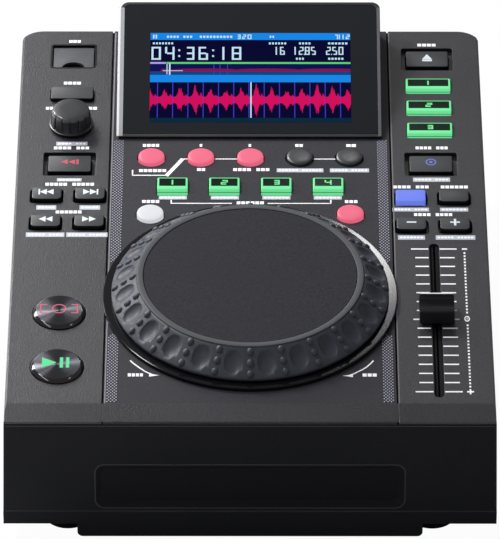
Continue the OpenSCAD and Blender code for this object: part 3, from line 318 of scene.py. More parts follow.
def strokes(number, x, v, width, height, stroke):
    """The bars of a digit of straight strokes, each as x, v, width and length."""
    across, up = width - stroke, height - stroke
    places = {}
    for letter, way in (("a", 1), ("g", 0), ("d", -1)):
        places[letter] = (0, way * up / 2, across - stroke, stroke)
    for letter, side, way in (("b", 1, 1), ("c", 1, -1), ("f", -1, 1), ("e", -1, -1)):
        places[letter] = (side * across / 2, way * height / 4, stroke, height / 2)
    if number == 1:
        x -= across / 2
    shapes = ("abcdef", "bc", "abged", "abgcd", "fgbc", "afgcd", "afgcde", "abc", "abcdefg", "abcdfg")
    bars = [places[letter] for letter in shapes[number]]
    return [(x + right, v + above, wide, long) for right, above, wide, long in bars]


def round_corners(v, back, front):
    """Rounds the back and front corners of the selected rectangle, whose middle is at v."""
    for radius, test in ((back, lambda c: c.co.y > v), (front, lambda c: c.co.y < v)):
        if radius:
            if pick("VERT", test, among_selected=True):
                bevel(radius, 5, "VERTICES")
            bpy.ops.mesh.select_linked()
    bpy.ops.mesh.select_mode(type="FACE")


def block(x, v, width, length, low, high, back=0.0, front=0.0, rim=0.0, steps=3):
    """Adds a block with rounded corners and a rounded upper rim. Its top stays selected."""
    sheet(x, v, width, length, low)
    if back or front:
        round_corners(v, back, front)
    raise_by(high - low)
    if rim:
        bevel(rim, steps)
        pick("FACE", lambda f: f.normal.z > 0.99 and f.calc_center_median().z > high - 0.01)


def thin_frame(x, v, width, length, back, front, thick, rise):
    """Makes an empty piece a thin frame with rounded corners."""
    sheet(x, v, width, length, 0.0)
    round_corners(v, back, front)
    bpy.ops.mesh.inset(thickness=thick)
    bpy.ops.mesh.delete(type="FACE")
    raise_all(rise)


def rod(x, v, h, radius, length, sides):
    """Adds a cylinder that lies across the panel."""
    bpy.ops.mesh.primitive_cylinder_add(
        vertices=sides, radius=radius, depth=length, location=(x, v, h), rotation=(0, math.pi / 2, 0))


def turned(profile, x=0.0, v=0.0, sides=96, ring=False):
    """Adds a shape turned on an upright axis from (radius, height) pairs, lowest outside first."""
    radius, height = profile[0]
    bpy.ops.mesh.primitive_circle_add(
        vertices=sides, radius=radius, fill_type="NOTHING", location=(x, v, height))
    bpy.ops.mesh.select_mode(type="EDGE")
    for wide, high in profile[1:]:
        bpy.ops.mesh.extrude_edges_move(TRANSFORM_OT_translate={"value": (0, 0, high - height)})
        stretch(wide / radius, wide / radius, 1, (x, v, high))
        radius, height = wide, high
    bpy.ops.mesh.select_linked()
    if ring:
        bpy.ops.mesh.remove_doubles(threshold=0.0005)
    else:
        pick("EDGE", lambda e: e.is_boundary, among_selected=True)
        bpy.ops.mesh.fill_holes(sides=0)
    bpy.ops.mesh.select_mode(type="FACE")


def flat_ring(x, v, outer, inner, low=0.0, rise=INK, sides=48):
    """Adds a thin ring that lies flat."""
    high = low + rise
    turned([(outer, low), (outer, high), (inner, high), (inner, low), (outer, low)], x, v, sides, ring=True)


def close_up(angle=35.0):
    """Turns the faces outwards, leaves edit mode and smooths the piece."""
    bpy.ops.mesh.select_all(action="SELECT")
    bpy.ops.mesh.normals_make_consistent(inside=False)
    bpy.ops.object.mode_set(mode="OBJECT")
    bpy.ops.object.shade_smooth_by_angle(angle=math.radians(angle))


def settle(piece, place, body, replaced=(), angle=35.0):
    """Closes up a piece that is still in edit mode and puts it in its place, on its body."""
    if bpy.context.mode != "OBJECT":
        close_up(angle)
    piece.data.transform(place)
    piece.data.update()
    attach(piece, body)
    if replaced:
        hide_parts(*replaced)


def settle_on_case(piece):
    """Puts a finished piece on the panel, as part of the case."""
    settle(piece, on_panel(), "case")


def cut(piece, tool):
    """Takes the tool's shape out of the piece."""
    only(piece)
    modifier = piece.modifiers.new("cut", "BOOLEAN")
    modifier.operation = "DIFFERENCE"
    modifier.solver = "EXACT"
    modifier.object = tool
    bpy.ops.object.modifier_apply(modifier=modifier.name)
    bpy.data.objects.remove(tool)


# Finishes


def join(tree, kind, sockets=None, **settings):
    """Adds a node, sets it, and links or fills its inputs."""
    node = tree.nodes.new(kind)
    for name, value in settings.items():
        setattr(node, name, value)
    for name, value in (sockets or {}).items():
        if isinstance(value, bpy.types.NodeSocket):
            tree.links.new(value, node.inputs[name])
        else:
            node.inputs[name].default_value = value
    return node


def blend_tones(tree, amount, first, second):
    """A mix of two colours by an amount from 0 to 1."""
    mixed = tree.nodes.new("ShaderNodeMix")
    mixed.data_type = "RGBA"
    tree.links.new(amount, mixed.inputs["Factor"])
    for name, colour in (("A", first), ("B", second)):
        target = [s for s in mixed.inputs if s.name == name and s.type == "RGBA"][0]
        if isinstance(colour, bpy.types.NodeSocket):
            tree.links.new(colour, target)
        else:
            target.default_value = colour
    return [s for s in mixed.outputs if s.type == "RGBA"][0]


def stretched(tree, value, low, high, to_low=0.0, to_high=1.0):
    """A value's range from low to high, brought to another range."""
    return join(tree, "ShaderNodeMapRange", {
        "Value": value, "From Min": low, "From Max": high, "To Min": to_low, "To Max": to_high,
    }).outputs["Result"]


def new_tree(holder):
    """The empty node tree of a material or world."""
    holder.use_nodes = True
    holder.node_tree.nodes.clear()
    return holder.node_tree


def moulded(
    name, colour, rough, speck=0.12, grain=1500.0, bump=0.15, gloss=0.25, metal=0.0,
    spread=0.06, edge=0.0, wear=0.0, glow=0.0, glow_colour=None, spun=None,
):
    """Moulded, painted, turned or lit stuff with a fine grain, uneven gloss and rubbed edges that are also
    lightened as a painted highlight.
    """
    old = bpy.data.materials.get(name)
    if old:
        return old
    material = bpy.data.materials.new(name)
    tree = new_tree(material)
    coords = join(tree, "ShaderNodeTexCoord").outputs["Object"]
    fine = join(tree, "ShaderNodeTexNoise", {
        "Vector": coords, "Scale": grain, "Detail": 2.0, "Roughness": 0.6}).outputs["Fac"]
    broad = join(tree, "ShaderNodeTexNoise", {"Vector": coords, "Scale": 22.0, "Detail": 3.0}).outputs["Fac"]
    level = stretched(tree, fine, 0.36, 0.64)
    grained = blend_tones(tree, level, shade(colour, 1 - speck), shade(colour, 1 + speck))
    mottled = blend_tones(tree, broad, grained, shade(colour, 1.04))
    shader = join(tree, "ShaderNodeBsdfPrincipled", {
        "Roughness": stretched(tree, broad, 0.3, 0.7, max(rough - spread, 0.02), rough + spread),
        "Metallic": metal, "Specular IOR Level": gloss})
    normal = None
    if edge:
        normal = join(tree, "ShaderNodeBevel", {"Radius": edge}, samples=4).outputs["Normal"]
        # Edges are lightened evenly all round: partly rubbing, partly a painted highlight where light would
        # catch them.
        if wear:
            flat = join(tree, "ShaderNodeNewGeometry").outputs["Normal"]
            turn = join(tree, "ShaderNodeVectorMath", {0: normal, 1: flat}, operation="DOT_PRODUCT")
            worn = stretched(tree, turn.outputs["Value"], 0.985, 0.85)
            mottled = blend_tones(tree, worn, mottled, shade(colour, 1 + wear))
    if bump:
        relief = join(tree, "ShaderNodeBump", {"Height": fine, "Strength": bump, "Distance": 0.0002})
        if normal:
            tree.links.new(normal, relief.inputs["Normal"])
        normal = relief.outputs["Normal"]
    if normal:
        tree.links.new(normal, shader.inputs["Normal"])
    tree.links.new(grained if glow else mottled, shader.inputs["Base Color"])
    if spun:
        outward = join(tree, "ShaderNodeVectorMath", {0: coords, 1: spun}, operation="SUBTRACT")
        tree.links.new(outward.outputs["Vector"], shader.inputs["Tangent"])
        shader.inputs["Anisotropic"].default_value = 0.9
    if glow:
        lamp_map = blend_tones(tree, broad, shade(glow_colour, 0.94), shade(glow_colour, 1.05))
        tree.links.new(lamp_map, shader.inputs["Emission Color"])
        shader.inputs["Emission Strength"].default_value = glow
    join(tree, "ShaderNodeOutputMaterial", {"Surface": shader.outputs["BSDF"]})
    return material


def lit(name, colour, glow=0.8):
    """Translucent plastic lit from inside."""
    return moulded(
        name, shade(colour, 0.2), 0.4, speck=0.05, bump=0.03, gloss=0.15, glow=glow, glow_colour=colour)


def pixels(name, colour):
    """Dark glass that glows in one colour."""
    return moulded(
        name, shade(colour, 0.03), 0.3, speck=0.1, bump=0.0, gloss=0.02, glow=1.0, glow_colour=colour)


def finishes():
    """The finish of each material slot of the record."""
    c = colours()
    edge = sizes().edge
    return {
        # The edge lightening in these finishes is partly rubbing and partly a painted highlight on the edges.
        "case_grey": moulded(
            "painted_case", c.case, 0.37, speck=0.6, bump=0.8, gloss=0.4, spread=0.02, edge=edge, wear=1.1),
        "case_black": moulded(
            "textured_black", c.black, 0.6, speck=0.25, grain=1000, bump=0.3, gloss=0.12,
            edge=edge, wear=3.0),
        "panel_grey": moulded(
            "painted_sheet", c.panel, 0.55, speck=0.25, grain=1000, bump=0.25, gloss=0.12,
            edge=edge, wear=1.2),
        "screen_black": moulded(
            "bezel_black", (28, 28, 32), 0.42, speck=0.08, bump=0.05, gloss=0.4, edge=0.0007, wear=0.6),
        "lens_glass": moulded(
            "lens_black", (30, 31, 35), 0.16, speck=0.05, bump=0.0, gloss=0.12, spread=0.02),
        "display": moulded("panel_stack", (40, 42, 44), 0.4, gloss=0.3),
        "rear_plate": moulded(
            "rear_coated_steel", (26, 26, 29), 0.5, speck=0.2, grain=1000, bump=0.3, gloss=0.2),
        "socket_black": moulded("socket_nylon", (18, 18, 19), 0.45, bump=0.12, gloss=0.3),
        "rocker": moulded("rocker_nylon", (22, 22, 23), 0.3, bump=0.06, gloss=0.4),
        "foot_rubber": moulded("foot_rubber_black", (17, 17, 18), 0.8, speck=0.25, bump=0.4, gloss=0.1),
        "screw_steel": moulded("screw_blacked_steel", (70, 70, 74), 0.35, metal=1.0, bump=0.08, gloss=0.5),
        "board_green": moulded("board_resin", (18, 70, 40), 0.4, speck=0.25, grain=700, bump=0.1),
        "ring_black": moulded("ring_satin_black", (17, 17, 21), 0.14, bump=0.0, gloss=0.2, spread=0.015),
        "jog_grey": moulded("grip_plastic", c.grip, 0.46, speck=0.1, bump=0.06, gloss=0.22, spread=0.04),
        "jog_metal": moulded("satin_ring", (70, 71, 75), 0.42, speck=0.08, bump=0.04, gloss=0.2),
        "jog_plate": moulded("touch_vinyl", (44, 44, 49), 0.65, speck=0.3, grain=1000, bump=0.35, gloss=0.05),
        "turned_steel": moulded("shaft_steel", (168, 168, 172), 0.28, metal=1.0, gloss=0.5),
        "knob_grey": moulded("knob_satin", (22, 23, 26), 0.42, speck=0.1, bump=0.05, gloss=0.34),
        "inner_metal": moulded("zinc_sheet", (150, 152, 156), 0.4, metal=1.0, gloss=0.5, grain=400),
        "fader_black": moulded("fader_plastic", (14, 14, 18), 0.42, bump=0.06, gloss=0.12),
        "cover_grey": moulded("cover_plastic", (70, 71, 75), 0.45, speck=0.2, grain=1000, bump=0.2),
        "port_metal": moulded("port_nickel", (176, 176, 180), 0.25, metal=1.0, gloss=0.5),
        "tray_grey": moulded("tray_plastic", (36, 37, 40), 0.5, speck=0.14, bump=0.25, gloss=0.25),
        "door_black": moulded("door_plastic", (9, 9, 14), 0.4, speck=0.3, grain=1000, bump=0.2, gloss=0.1),
        "gear_white": moulded("gear_acetal", (222, 220, 210), 0.4, speck=0.03, bump=0.04),
        "drive_steel": moulded("drive_zinc", (140, 142, 146), 0.38, metal=1.0, grain=300, gloss=0.5),
        "turntable_black": moulded("turntable_plastic", (30, 30, 32), 0.4, bump=0.08),
        "sled_grey": moulded("sled_resin", (60, 62, 66), 0.5, bump=0.1),
        "key_dark": moulded("key_plastic", c.key, 0.4, bump=0.06, gloss=0.35),
        "key_spun": moulded("key_polished", (16, 16, 19), 0.1, speck=0.05, bump=0.0, gloss=0.6, spread=0.02),
        "key_black": moulded("key_round_black", (48, 49, 52), 0.3, speck=0.06, bump=0.04, gloss=0.45),
        "key_pink": lit("key_lit_pink", c.pink),
        "key_green": lit("key_lit_green", c.green),
        "key_white": lit("key_lit_white", (232, 233, 238), glow=0.7),
        "key_blue": lit("key_lit_blue", c.blue),
    }


def sign_pale():
    return moulded("sign_pale", (206, 214, 220), 0.5, speck=0.03, bump=0.02, gloss=0.2)


def ink():
    return moulded("print_white", colours().ink, 0.6, speck=0.03, bump=0.03, gloss=0.1)


class PLAYER_OT_finishes(bpy.types.Operator):
    """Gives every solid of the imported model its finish"""
    bl_idname = "player.finishes"
    bl_label = "Finishes"

    def execute(self, context):
        table = finishes()
        for part in frame["record"]["subparts"]:
            piece = frame["nodes"][part["node"]]
            finish = table[part["material_slot"]]
            if not piece.material_slots:
                piece.data.materials.append(finish)
            for place in piece.material_slots:
                place.material = finish
        return {"FINISHED"}


class PLAYER_OT_jog(bpy.types.Operator):
    """Finger ring with dimples and bumps, satin ring and base ring of the jog wheel"""
    bl_idname = "player.jog"
    bl_label = "Jog wheel"

    GRIP = (
        (52.1, 3.0), (62.9, 2.6), (63.3, 2.75), (63.43, 3.1), (63.43, 3.9), (63.2, 4.25),
        (60.9, 6.05), (58.1, 8.28), (55.3, 10.52), (53.0, 12.35), (52.55, 12.7), (52.1, 12.9), (52.1, 3.0),
    )
    SLOPE = math.atan2(8.95, 11.2)
    DIMPLE_HALF = (4.65, 6.0, 2.35)
    BUMP_HALF = (1.6, 1.95, 1.25)
    # The plain rings: name, slot, node, body, sides, smoothing angle and profile
    RINGS = (
        ("satin_ring", "jog_metal", "jog_trim_ring", "jog", 192, 40, (
            (48.95, 12.4), (51.9, 12.4), (51.98, 12.5), (51.98, 13.2), (51.75, 13.52), (51.4, 13.6),
            (49.4, 13.6), (49.05, 13.5), (48.95, 13.3), (48.95, 12.4))),
        ("base_ring", "ring_black", "jog_base_ring", "case", 240, 20, (
            (61.0, 0.02), (67.43, 0.02), (67.43, 1.45), (67.25, 1.75), (66.95, 1.9), (61.0, 1.9),
            (61.0, 0.02))),
    )

    def execute(self, context):
        table = finishes()
        self.finger_ring(table["jog_grey"])
        for name, slot, node, body, sides, angle, profile in self.RINGS:
            ring = begin(name, table[slot])
            turned(profile, sides=sides, ring=True)
            settle(ring, on_jog(), body, [node], angle)
        return {"FINISHED"}

    def finger_ring(self, finish):
        ring = begin("finger_ring", finish)
        turned(self.GRIP, sides=240, ring=True)
        close_up(30)
        count = sizes().dimples
        tool = begin("dimple_tool")
        for index in range(count):
            around = 2 * math.pi * (index + 0.5) / count - math.pi / 2
            self.ball(57.7, 8.6, around, self.DIMPLE_HALF, 0.85, 24, 14)
        close_up(180)
        cut(ring, tool)
        bumps = begin("grip_bumps", finish)
        for index in range(count):
            around = 2 * math.pi * index / count - math.pi / 2
            for step in (-5.2, 0.0, 5.2):
                radius = 57.75 - step * math.cos(self.SLOPE)
                height = 8.56 + step * math.sin(self.SLOPE)
                self.ball(radius, height, around, self.BUMP_HALF, -0.1, 16, 10)
        close_up(60)
        only(bumps, ring)
        bpy.ops.object.join()
        settle(ring, on_jog(), "jog", ["jog_wheel"])

    def ball(self, radius, height, around, half, lift, segments, rings):
        """Adds a flattened ball on the slope of the ring, lifted off it by some way."""
        centre = (radius + lift * math.sin(self.SLOPE), 0, height + lift * math.cos(self.SLOPE))
        bpy.ops.mesh.primitive_uv_sphere_add(segments=segments, ring_count=rings, radius=1, location=centre)
        stretch(half[1], half[0], half[2], centre)
        bpy.ops.transform.rotate(value=-self.SLOPE, orient_axis="Y", center_override=centre)
        bpy.ops.transform.rotate(value=-around, orient_axis="Z", center_override=(0, 0, 0))


class PLAYER_OT_small_keys(bpy.types.Operator):
    """Small keys beside the screen, each with its arrows or sign"""
    bl_idname = "player.small_keys"
    bl_label = "Small keys"

    SIZE = (13.8, 9.0)
    ARROW, BAR, MINUS, PLUS = (3.2, 4.1), (0.7, 4.1), (4.4, 0.95), (1.1, 4.9)

    def execute(self, context):
        table = finishes()
        for name, (x, v) in SMALL_KEYS.items():
            slot = "key_blue" if name == "key_lock_key" else "key_dark"
            cap = begin(name + "_cap", table[slot], sign_pale(), table["fader_black"])
            block(x, v + 0.3, *self.SIZE, KEY_FOOT, KEY_TOP, back=1.0, front=2.2, rim=sizes().key_rim / MM)
            if slot == "key_dark":
                # The key's sides are painted black as painted shade.
                paint_sides(2)
            self.sign(name, x, v + 1.2)
            settle(cap, on_panel(), name, [name])
        return {"FINISHED"}

    def sign(self, name, x, v):
        way = -1 if "back" in name else 1
        if name.startswith(("track", "search")):
            for step in (-1.6, 1.6):
                mark_triangle(1, x + step, v, *self.ARROW, KEY_TOP, way)
        if name.startswith("track"):
            mark(1, x + way * 3.5, v, *self.BAR, KEY_TOP)
        if name.startswith("bend"):
            mark(1, x, v, *self.MINUS, KEY_TOP)
        if name == "bend_plus_key":
            mark(1, x, v, *self.PLUS, KEY_TOP, INK * 0.9)


class PLAYER_OT_wide_keys(bpy.types.Operator):
    """Wide keys: the back key and the three in sunken wells"""
    bl_idname = "player.wide_keys"
    bl_label = "Wide keys"

    WIDTH = 20.2

    def execute(self, context):
        signs = {
            "direction_key": lit("mark_red", (205, 92, 104)),
            "jog_mode_key": lit("mark_blue", (112, 122, 205)),
        }
        self.cap("back_key", -COLUMN_X, 229.37, 9.6, KEY_FOOT, KEY_TOP, ink())
        for name, (x, v) in SUNK_KEYS.items():
            self.cap(name, x, v, 12.4, WELL_KEY_FOOT, WELL_KEY_TOP, signs.get(name, sign_pale()))
        return {"FINISHED"}

    def cap(self, name, x, v, length, low, high, sign_finish):
        table = finishes()
        cap = begin(name + "_cap", table["key_dark"], sign_finish, table["fader_black"])
        block(x, v, self.WIDTH, length, low, high, back=0.9, front=1.1, rim=sizes().key_rim / MM)
        # The key's sides are painted black as painted shade.
        paint_sides(2)
        self.sign(name, x, v + 1.3, WELL_KEY_TOP)
        settle(cap, on_panel(), name, [name])

    def sign(self, name, x, v, top):
        if name == "eject_key":
            mark_triangle(1, x, v + 0.5, 4.7, 4.1, top, 0)
            mark(1, x, v - 2.5, 4.7, 1.4, top)
        if name == "direction_key":
            for step in (-2.6, 0.9):
                mark_triangle(1, x + step, v, 3.3, 3.6, top, -1)
            mark(1, x + 3.7, v, 1.1, 3.6, top)
        if name == "jog_mode_key":
            for outer, inner in ((2.5, 1.9), (0.8, 0.05)):
                flat_ring(x, v, outer, inner, top, sides=40)
                paint_linked(1)


class PLAYER_OT_round_keys(bpy.types.Operator):
    """Round loop, shift and slip keys with the light that leaks round them"""
    bl_idname = "player.round_keys"
    bl_label = "Round keys"

    CAP = (
        (5.9, -3.4), (6.2, -3.2), (6.2, 0.75), (6.12, 1.05), (5.85, 1.3), (5.4, 1.45),
        (4.2, 1.6), (2.4, 1.7), (0.8, 1.72),
    )
    LEAK = ((7.1, 0.0), (7.05, 0.05), (6.8, 0.05), (6.8, 0.0), (7.1, 0.0))

    def execute(self, context):
        table = finishes()
        slots = {p["node"]: p["material_slot"] for p in frame["record"]["subparts"]}
        for name, (x, v) in ROUND_KEYS.items():
            slot = slots[name]
            cap = begin(name + "_cap", table[slot])
            turned(self.CAP, x, v, 64)
            settle(cap, on_panel(), name, [name], 40)
            if slot == "key_pink":
                glow = begin(name + "_leak", lit("leak_red", (92, 26, 36)))
                turned(self.LEAK, x, v, 64, ring=True)
                settle_on_case(glow)
        return {"FINISHED"}


class PLAYER_OT_lit_keys(bpy.types.Operator):
    """Green pads and source keys with dark windows and numbers"""
    bl_idname = "player.lit_keys"
    bl_label = "Lit keys"

    # The rows: keys, width, length, how tall the number is, and how far the cap stands back of its place
    ROWS = ((PADS, 14.2, 9.0, 3.5, 1.35), (SOURCE_KEYS, 21.2, 8.4, 3.2, 0.8))
    TOP, FLUSH = 1.5, 0.02
    WINDOW_SHARE, BACK_MARGIN, SIDE_MARGIN = 0.64, 0.75, 0.9
    NUMBER_WIDTH, NUMBER_STROKE = 3.3, 0.75
    LEAK_WIDTH, LEAK_RISE = 0.35, 0.06

    def execute(self, context):
        window = moulded("window_green_black", (8, 26, 16), 0.25, bump=0.0, gloss=0.08)
        stuff = (finishes()["key_green"], window, lit("number_green", (120, 236, 152)))
        leak_green = lit("leak_green", (14, 56, 30))
        for keys, width, length, tall, back in self.ROWS:
            for number, (name, (x, place_v)) in enumerate(keys.items(), 1):
                v = place_v + back
                cap = begin(name + "_cap", *stuff)
                block(x, v, width, length, KEY_FOOT, self.TOP, back=0.7, front=0.9, rim=0.35)
                window_length = length * self.WINDOW_SHARE
                window_v = v + length / 2 - self.BACK_MARGIN - window_length / 2
                mark(1, x, window_v, width - 2 * self.SIDE_MARGIN, window_length, self.TOP - self.FLUSH)
                for bar in strokes(number, x, window_v - 0.15, self.NUMBER_WIDTH, tall, self.NUMBER_STROKE):
                    mark(2, *bar, self.TOP + self.FLUSH)
                settle(cap, on_panel(), name, [name])
                leak = begin(name + "_leak", leak_green)
                thin_frame(x, v, width + 1.5, length + 1.5, 1.3, 1.3, self.LEAK_WIDTH, self.LEAK_RISE)
                settle_on_case(leak)
        return {"FINISHED"}


class PLAYER_OT_transport(bpy.types.Operator):
    """Two large round transport keys with spun faces, polished bevels and lit signs"""
    bl_idname = "player.transport"
    bl_label = "Transport keys"

    CAP = (
        (11.7, -3.4), (12.0, -3.1), (12.0, 0.25), (11.93, 0.5), (11.75, 0.72), (10.75, 1.66),
        (10.6, 1.76), (10.4, KEY_TOP),
    )
    PLAY, PAUSE, RING = (6.6, 7.4), (1.5, 7.2), (3.3, 2.7)
    BRACKET, BRACKET_STROKE = (2.6, 6.6), 0.65

    def execute(self, context):
        polished = finishes()["key_spun"]
        red = lit("mark_cue_red", (212, 96, 118))
        green = lit("mark_play_green", (98, 226, 156))
        for name, (x, v) in TRANSPORT_KEYS.items():
            middle = on_panel() @ Matrix.Translation((x, v, KEY_TOP))
            face = moulded(
                "spun_" + name, (72, 72, 77), 0.34, speck=0.06, bump=0.0, gloss=0.5, metal=1.0,
                spread=0.03, spun=tuple(middle.to_translation()))
            cap = begin(name + "_cap", polished, face, red, green)
            turned(self.CAP, x, v)
            pick("FACE", lambda f: f.normal.z > 0.99 and f.calc_center_median().z > KEY_TOP - 0.01)
            paint(1)
            if name == "play_key":
                self.play_sign(x, v + 1.0)
            else:
                self.cue_sign(x, v + 1.0)
            settle(cap, on_panel(), name, [name], 28)
        return {"FINISHED"}

    def play_sign(self, x, v):
        mark_triangle(3, x - 3.5, v, *self.PLAY, KEY_TOP, 1)
        for step in (2.0, 4.8):
            mark(3, x + step, v, *self.PAUSE, KEY_TOP)

    def cue_sign(self, x, v):
        flat_ring(x, v, *self.RING, KEY_TOP)
        paint_linked(2)
        arm, tall = self.BRACKET
        for way in (-1, 1):
            mark(2, x + way * 8.4, v, self.BRACKET_STROKE, tall, KEY_TOP)
            for step in (-3.0, 3.0):
                mark(2, x + way * 6.8, v + step, arm, self.BRACKET_STROKE, KEY_TOP)


class PLAYER_OT_knob(bpy.types.Operator):
    """Browse knob with a grooved side and a polished upper edge, painted lighter as a highlight"""
    bl_idname = "player.knob"
    bl_label = "Browse knob"

    PROFILE = (
        (9.6, 1.32), (10.25, 1.32), (10.4, 1.45), (10.4, 1.7), (10.2, 1.85), (9.78, 1.95), (9.7, 2.3),
        (9.2, 7.7), (9.05, 8.3), (8.75, 9.0), (8.35, 9.6), (8.1, 9.82), (7.6, 9.95), (4.0, 10.0),
    )
    EDGE_LOW, EDGE_HIGH = 8.4, 9.75
    GROOVE_LOW, GROOVE_HIGH = 2.0, 9.1

    def execute(self, context):
        side = moulded("knob_side", (44, 44, 49), 0.32, speck=0.1, bump=0.06, gloss=0.35)
        # The polished upper edge is lighter than the side and top: partly its polish, partly a painted
        # highlight.
        edge = moulded("knob_edge", (70, 71, 75), 0.16, speck=0.04, bump=0.0, gloss=0.8, spread=0.02)
        knob = begin("browse_knob_cap", finishes()["knob_grey"], side, edge)
        x, v = KNOB_PLACE
        turned(self.PROFILE, x, v, sizes().flutes * 8)
        pick("FACE", lambda f: f.calc_center_median().z < self.EDGE_LOW)
        paint(1)
        pick("FACE", lambda f: self.EDGE_LOW < f.calc_center_median().z < self.EDGE_HIGH)
        paint(2)
        step = 2 * math.pi / sizes().flutes

        def in_groove(c):
            around = math.atan2(c.co.y - v, c.co.x - x) % step
            return self.GROOVE_LOW < c.co.z < self.GROOVE_HIGH and step * 0.45 < around < step * 0.55

        if pick("VERT", in_groove):
            stretch(0.95, 0.95, 1, (x, v, 5))
        settle(knob, on_panel(), "knob", ["browse_knob"], 32)
        return {"FINISHED"}


class PLAYER_OT_fader(bpy.types.Operator):
    """Saddle-shaped fader cap with a painted highlight on its rear ridge, and the dust strips in its slot"""
    bl_idname = "player.fader"
    bl_label = "Fader cap"

    SIZE, LOW, TOP = (16, 14), 1.2, 8.0
    SADDLE_RADIUS, SADDLE_H = 9, 13.6
    RIDGE, LEVER = (14.6, 0.8), (0.8, 4.2)
    SLOT_LENGTH = 110.4
    # Strips in the slot: distance from its middle, width, underside, top and rim
    LYING = (1.33, 1.82, -1.4, -0.9, 0.1)
    STANDING = (2.12, 0.25, -1.4, -0.03, 0.05)
    FLOOR = (0, 4.3, -4.7, -4.3, 0.05)

    def execute(self, context):
        x, v = FADER_PLACE
        table = finishes()
        # A pale strip on the cap's rear ridge: a painted highlight.
        ridge = moulded("ridge_pale", (205, 206, 212), 0.3, speck=0.04, gloss=0.4)
        # The cap's front and sides are painted lighter than its saddle as painted light, with their edges
        # lighter still as a painted highlight.
        front = moulded(
            "cap_front", (28, 28, 32), 0.45, speck=0.15, bump=0.1, gloss=0.2, edge=0.0004, wear=4.0)
        cap = begin("fader_cap_saddle", table["fader_black"], ridge, front)
        block(x, v, *self.SIZE, self.LOW, self.TOP, back=1.0, front=1.0, rim=0.5)
        close_up(40)
        tool = begin("saddle_tool")
        rod(x, v + 0.6, self.SADDLE_H, self.SADDLE_RADIUS, 24, 96)
        close_up(180)
        cut(cap, tool)
        bpy.ops.object.mode_set(mode="EDIT")
        # Gives the front and sides the lighter finish of painted light.
        pick("FACE", lambda f: f.normal.y < -0.5 or abs(f.normal.x) > 0.5)
        paint(2)
        bpy.ops.mesh.select_all(action="DESELECT")
        mark(1, x, v + 6.5, *self.RIDGE, self.TOP - 0.02, 0.06)
        mark(0, x, v, *self.LEVER, -4.0, 5.4)
        settle(cap, on_panel(), "fader", ["fader_cap"])
        strips = begin("slot_dust_strips", table["foot_rubber"])
        for side in (-1, 1):
            self.strip(side, *self.LYING)
            self.strip(side, *self.STANDING)
        self.strip(0, *self.FLOOR)
        settle_on_case(strips)
        return {"FINISHED"}

    def strip(self, side, aside, width, low, high, rim):
        block(
            FADER_PLACE[0] + side * aside, FADER_SLOT_V, width, self.SLOT_LENGTH, low, high, rim=rim, steps=1)


class PLAYER_OT_port(bpy.types.Operator):
    """Sprung flap of the memory port with its finger notch, and black walls and a black outline for its well
    as painted shade
    """
    bl_idname = "player.port"
    bl_label = "Memory port"

    FLAP_FRONT, HINGE = 252.4, 268.17
    FLAP_WIDTH, FLAP_LOW, FLAP_HIGH = 19.5, -2.1, -0.9
    NOTCH_HALF = (5.6, 4.8)
    PIN_RADIUS, PIN_H, PIN_LENGTH = 0.72, -1.7, 23.0
    WELL_SIZE, WELL_FLOOR, WELL_DEPTH = (21.2, 18.4), -6.9, 6.5
    RIM_SIZE, RIM_WIDTH = (22.3, 19.5), 0.95

    def execute(self, context):
        table = finishes()
        self.flap(-COLUMN_X, table["cover_grey"])
        # A black lining inside the well and a black outline round its edge: painted shade in the well and
        # round the flap.
        lining = begin("port_lining", table["fader_black"])
        sheet(-COLUMN_X, PORT_V, *self.WELL_SIZE, self.WELL_FLOOR)
        round_corners(PORT_V, 2.1, 2.1)
        bpy.ops.mesh.inset(thickness=0.25)
        bpy.ops.mesh.select_all(action="INVERT")
        raise_by(self.WELL_DEPTH)
        settle_on_case(lining)
        rim = begin("port_frame", table["fader_black"])
        thin_frame(-COLUMN_X, PORT_V, *self.RIM_SIZE, 1.5, 2.9, self.RIM_WIDTH, INK)
        settle_on_case(rim)
        return {"FINISHED"}

    def flap(self, x, finish):
        front, back = self.FLAP_FRONT, self.HINGE + 0.8
        flap = begin("port_flap", finish)
        block(
            x, (front + back) / 2, self.FLAP_WIDTH, back - front, self.FLAP_LOW, self.FLAP_HIGH,
            back=0.6, front=1.6, rim=0.25)
        close_up(40)
        tool = begin("notch_tool")
        centre = (x, front, (self.FLAP_LOW + self.FLAP_HIGH) / 2)
        bpy.ops.mesh.primitive_cylinder_add(vertices=64, radius=1, depth=6, location=centre)
        stretch(*self.NOTCH_HALF, 1, centre)
        close_up(180)
        cut(flap, tool)
        bpy.ops.object.mode_set(mode="EDIT")
        bpy.ops.mesh.select_mode(type="FACE")
        bpy.ops.mesh.select_all(action="DESELECT")
        rod(x, self.HINGE, self.PIN_H, self.PIN_RADIUS, self.PIN_LENGTH, 32)
        bevel(0.2, 2)
        settle(flap, on_panel(), "cover", ["port_cover"])


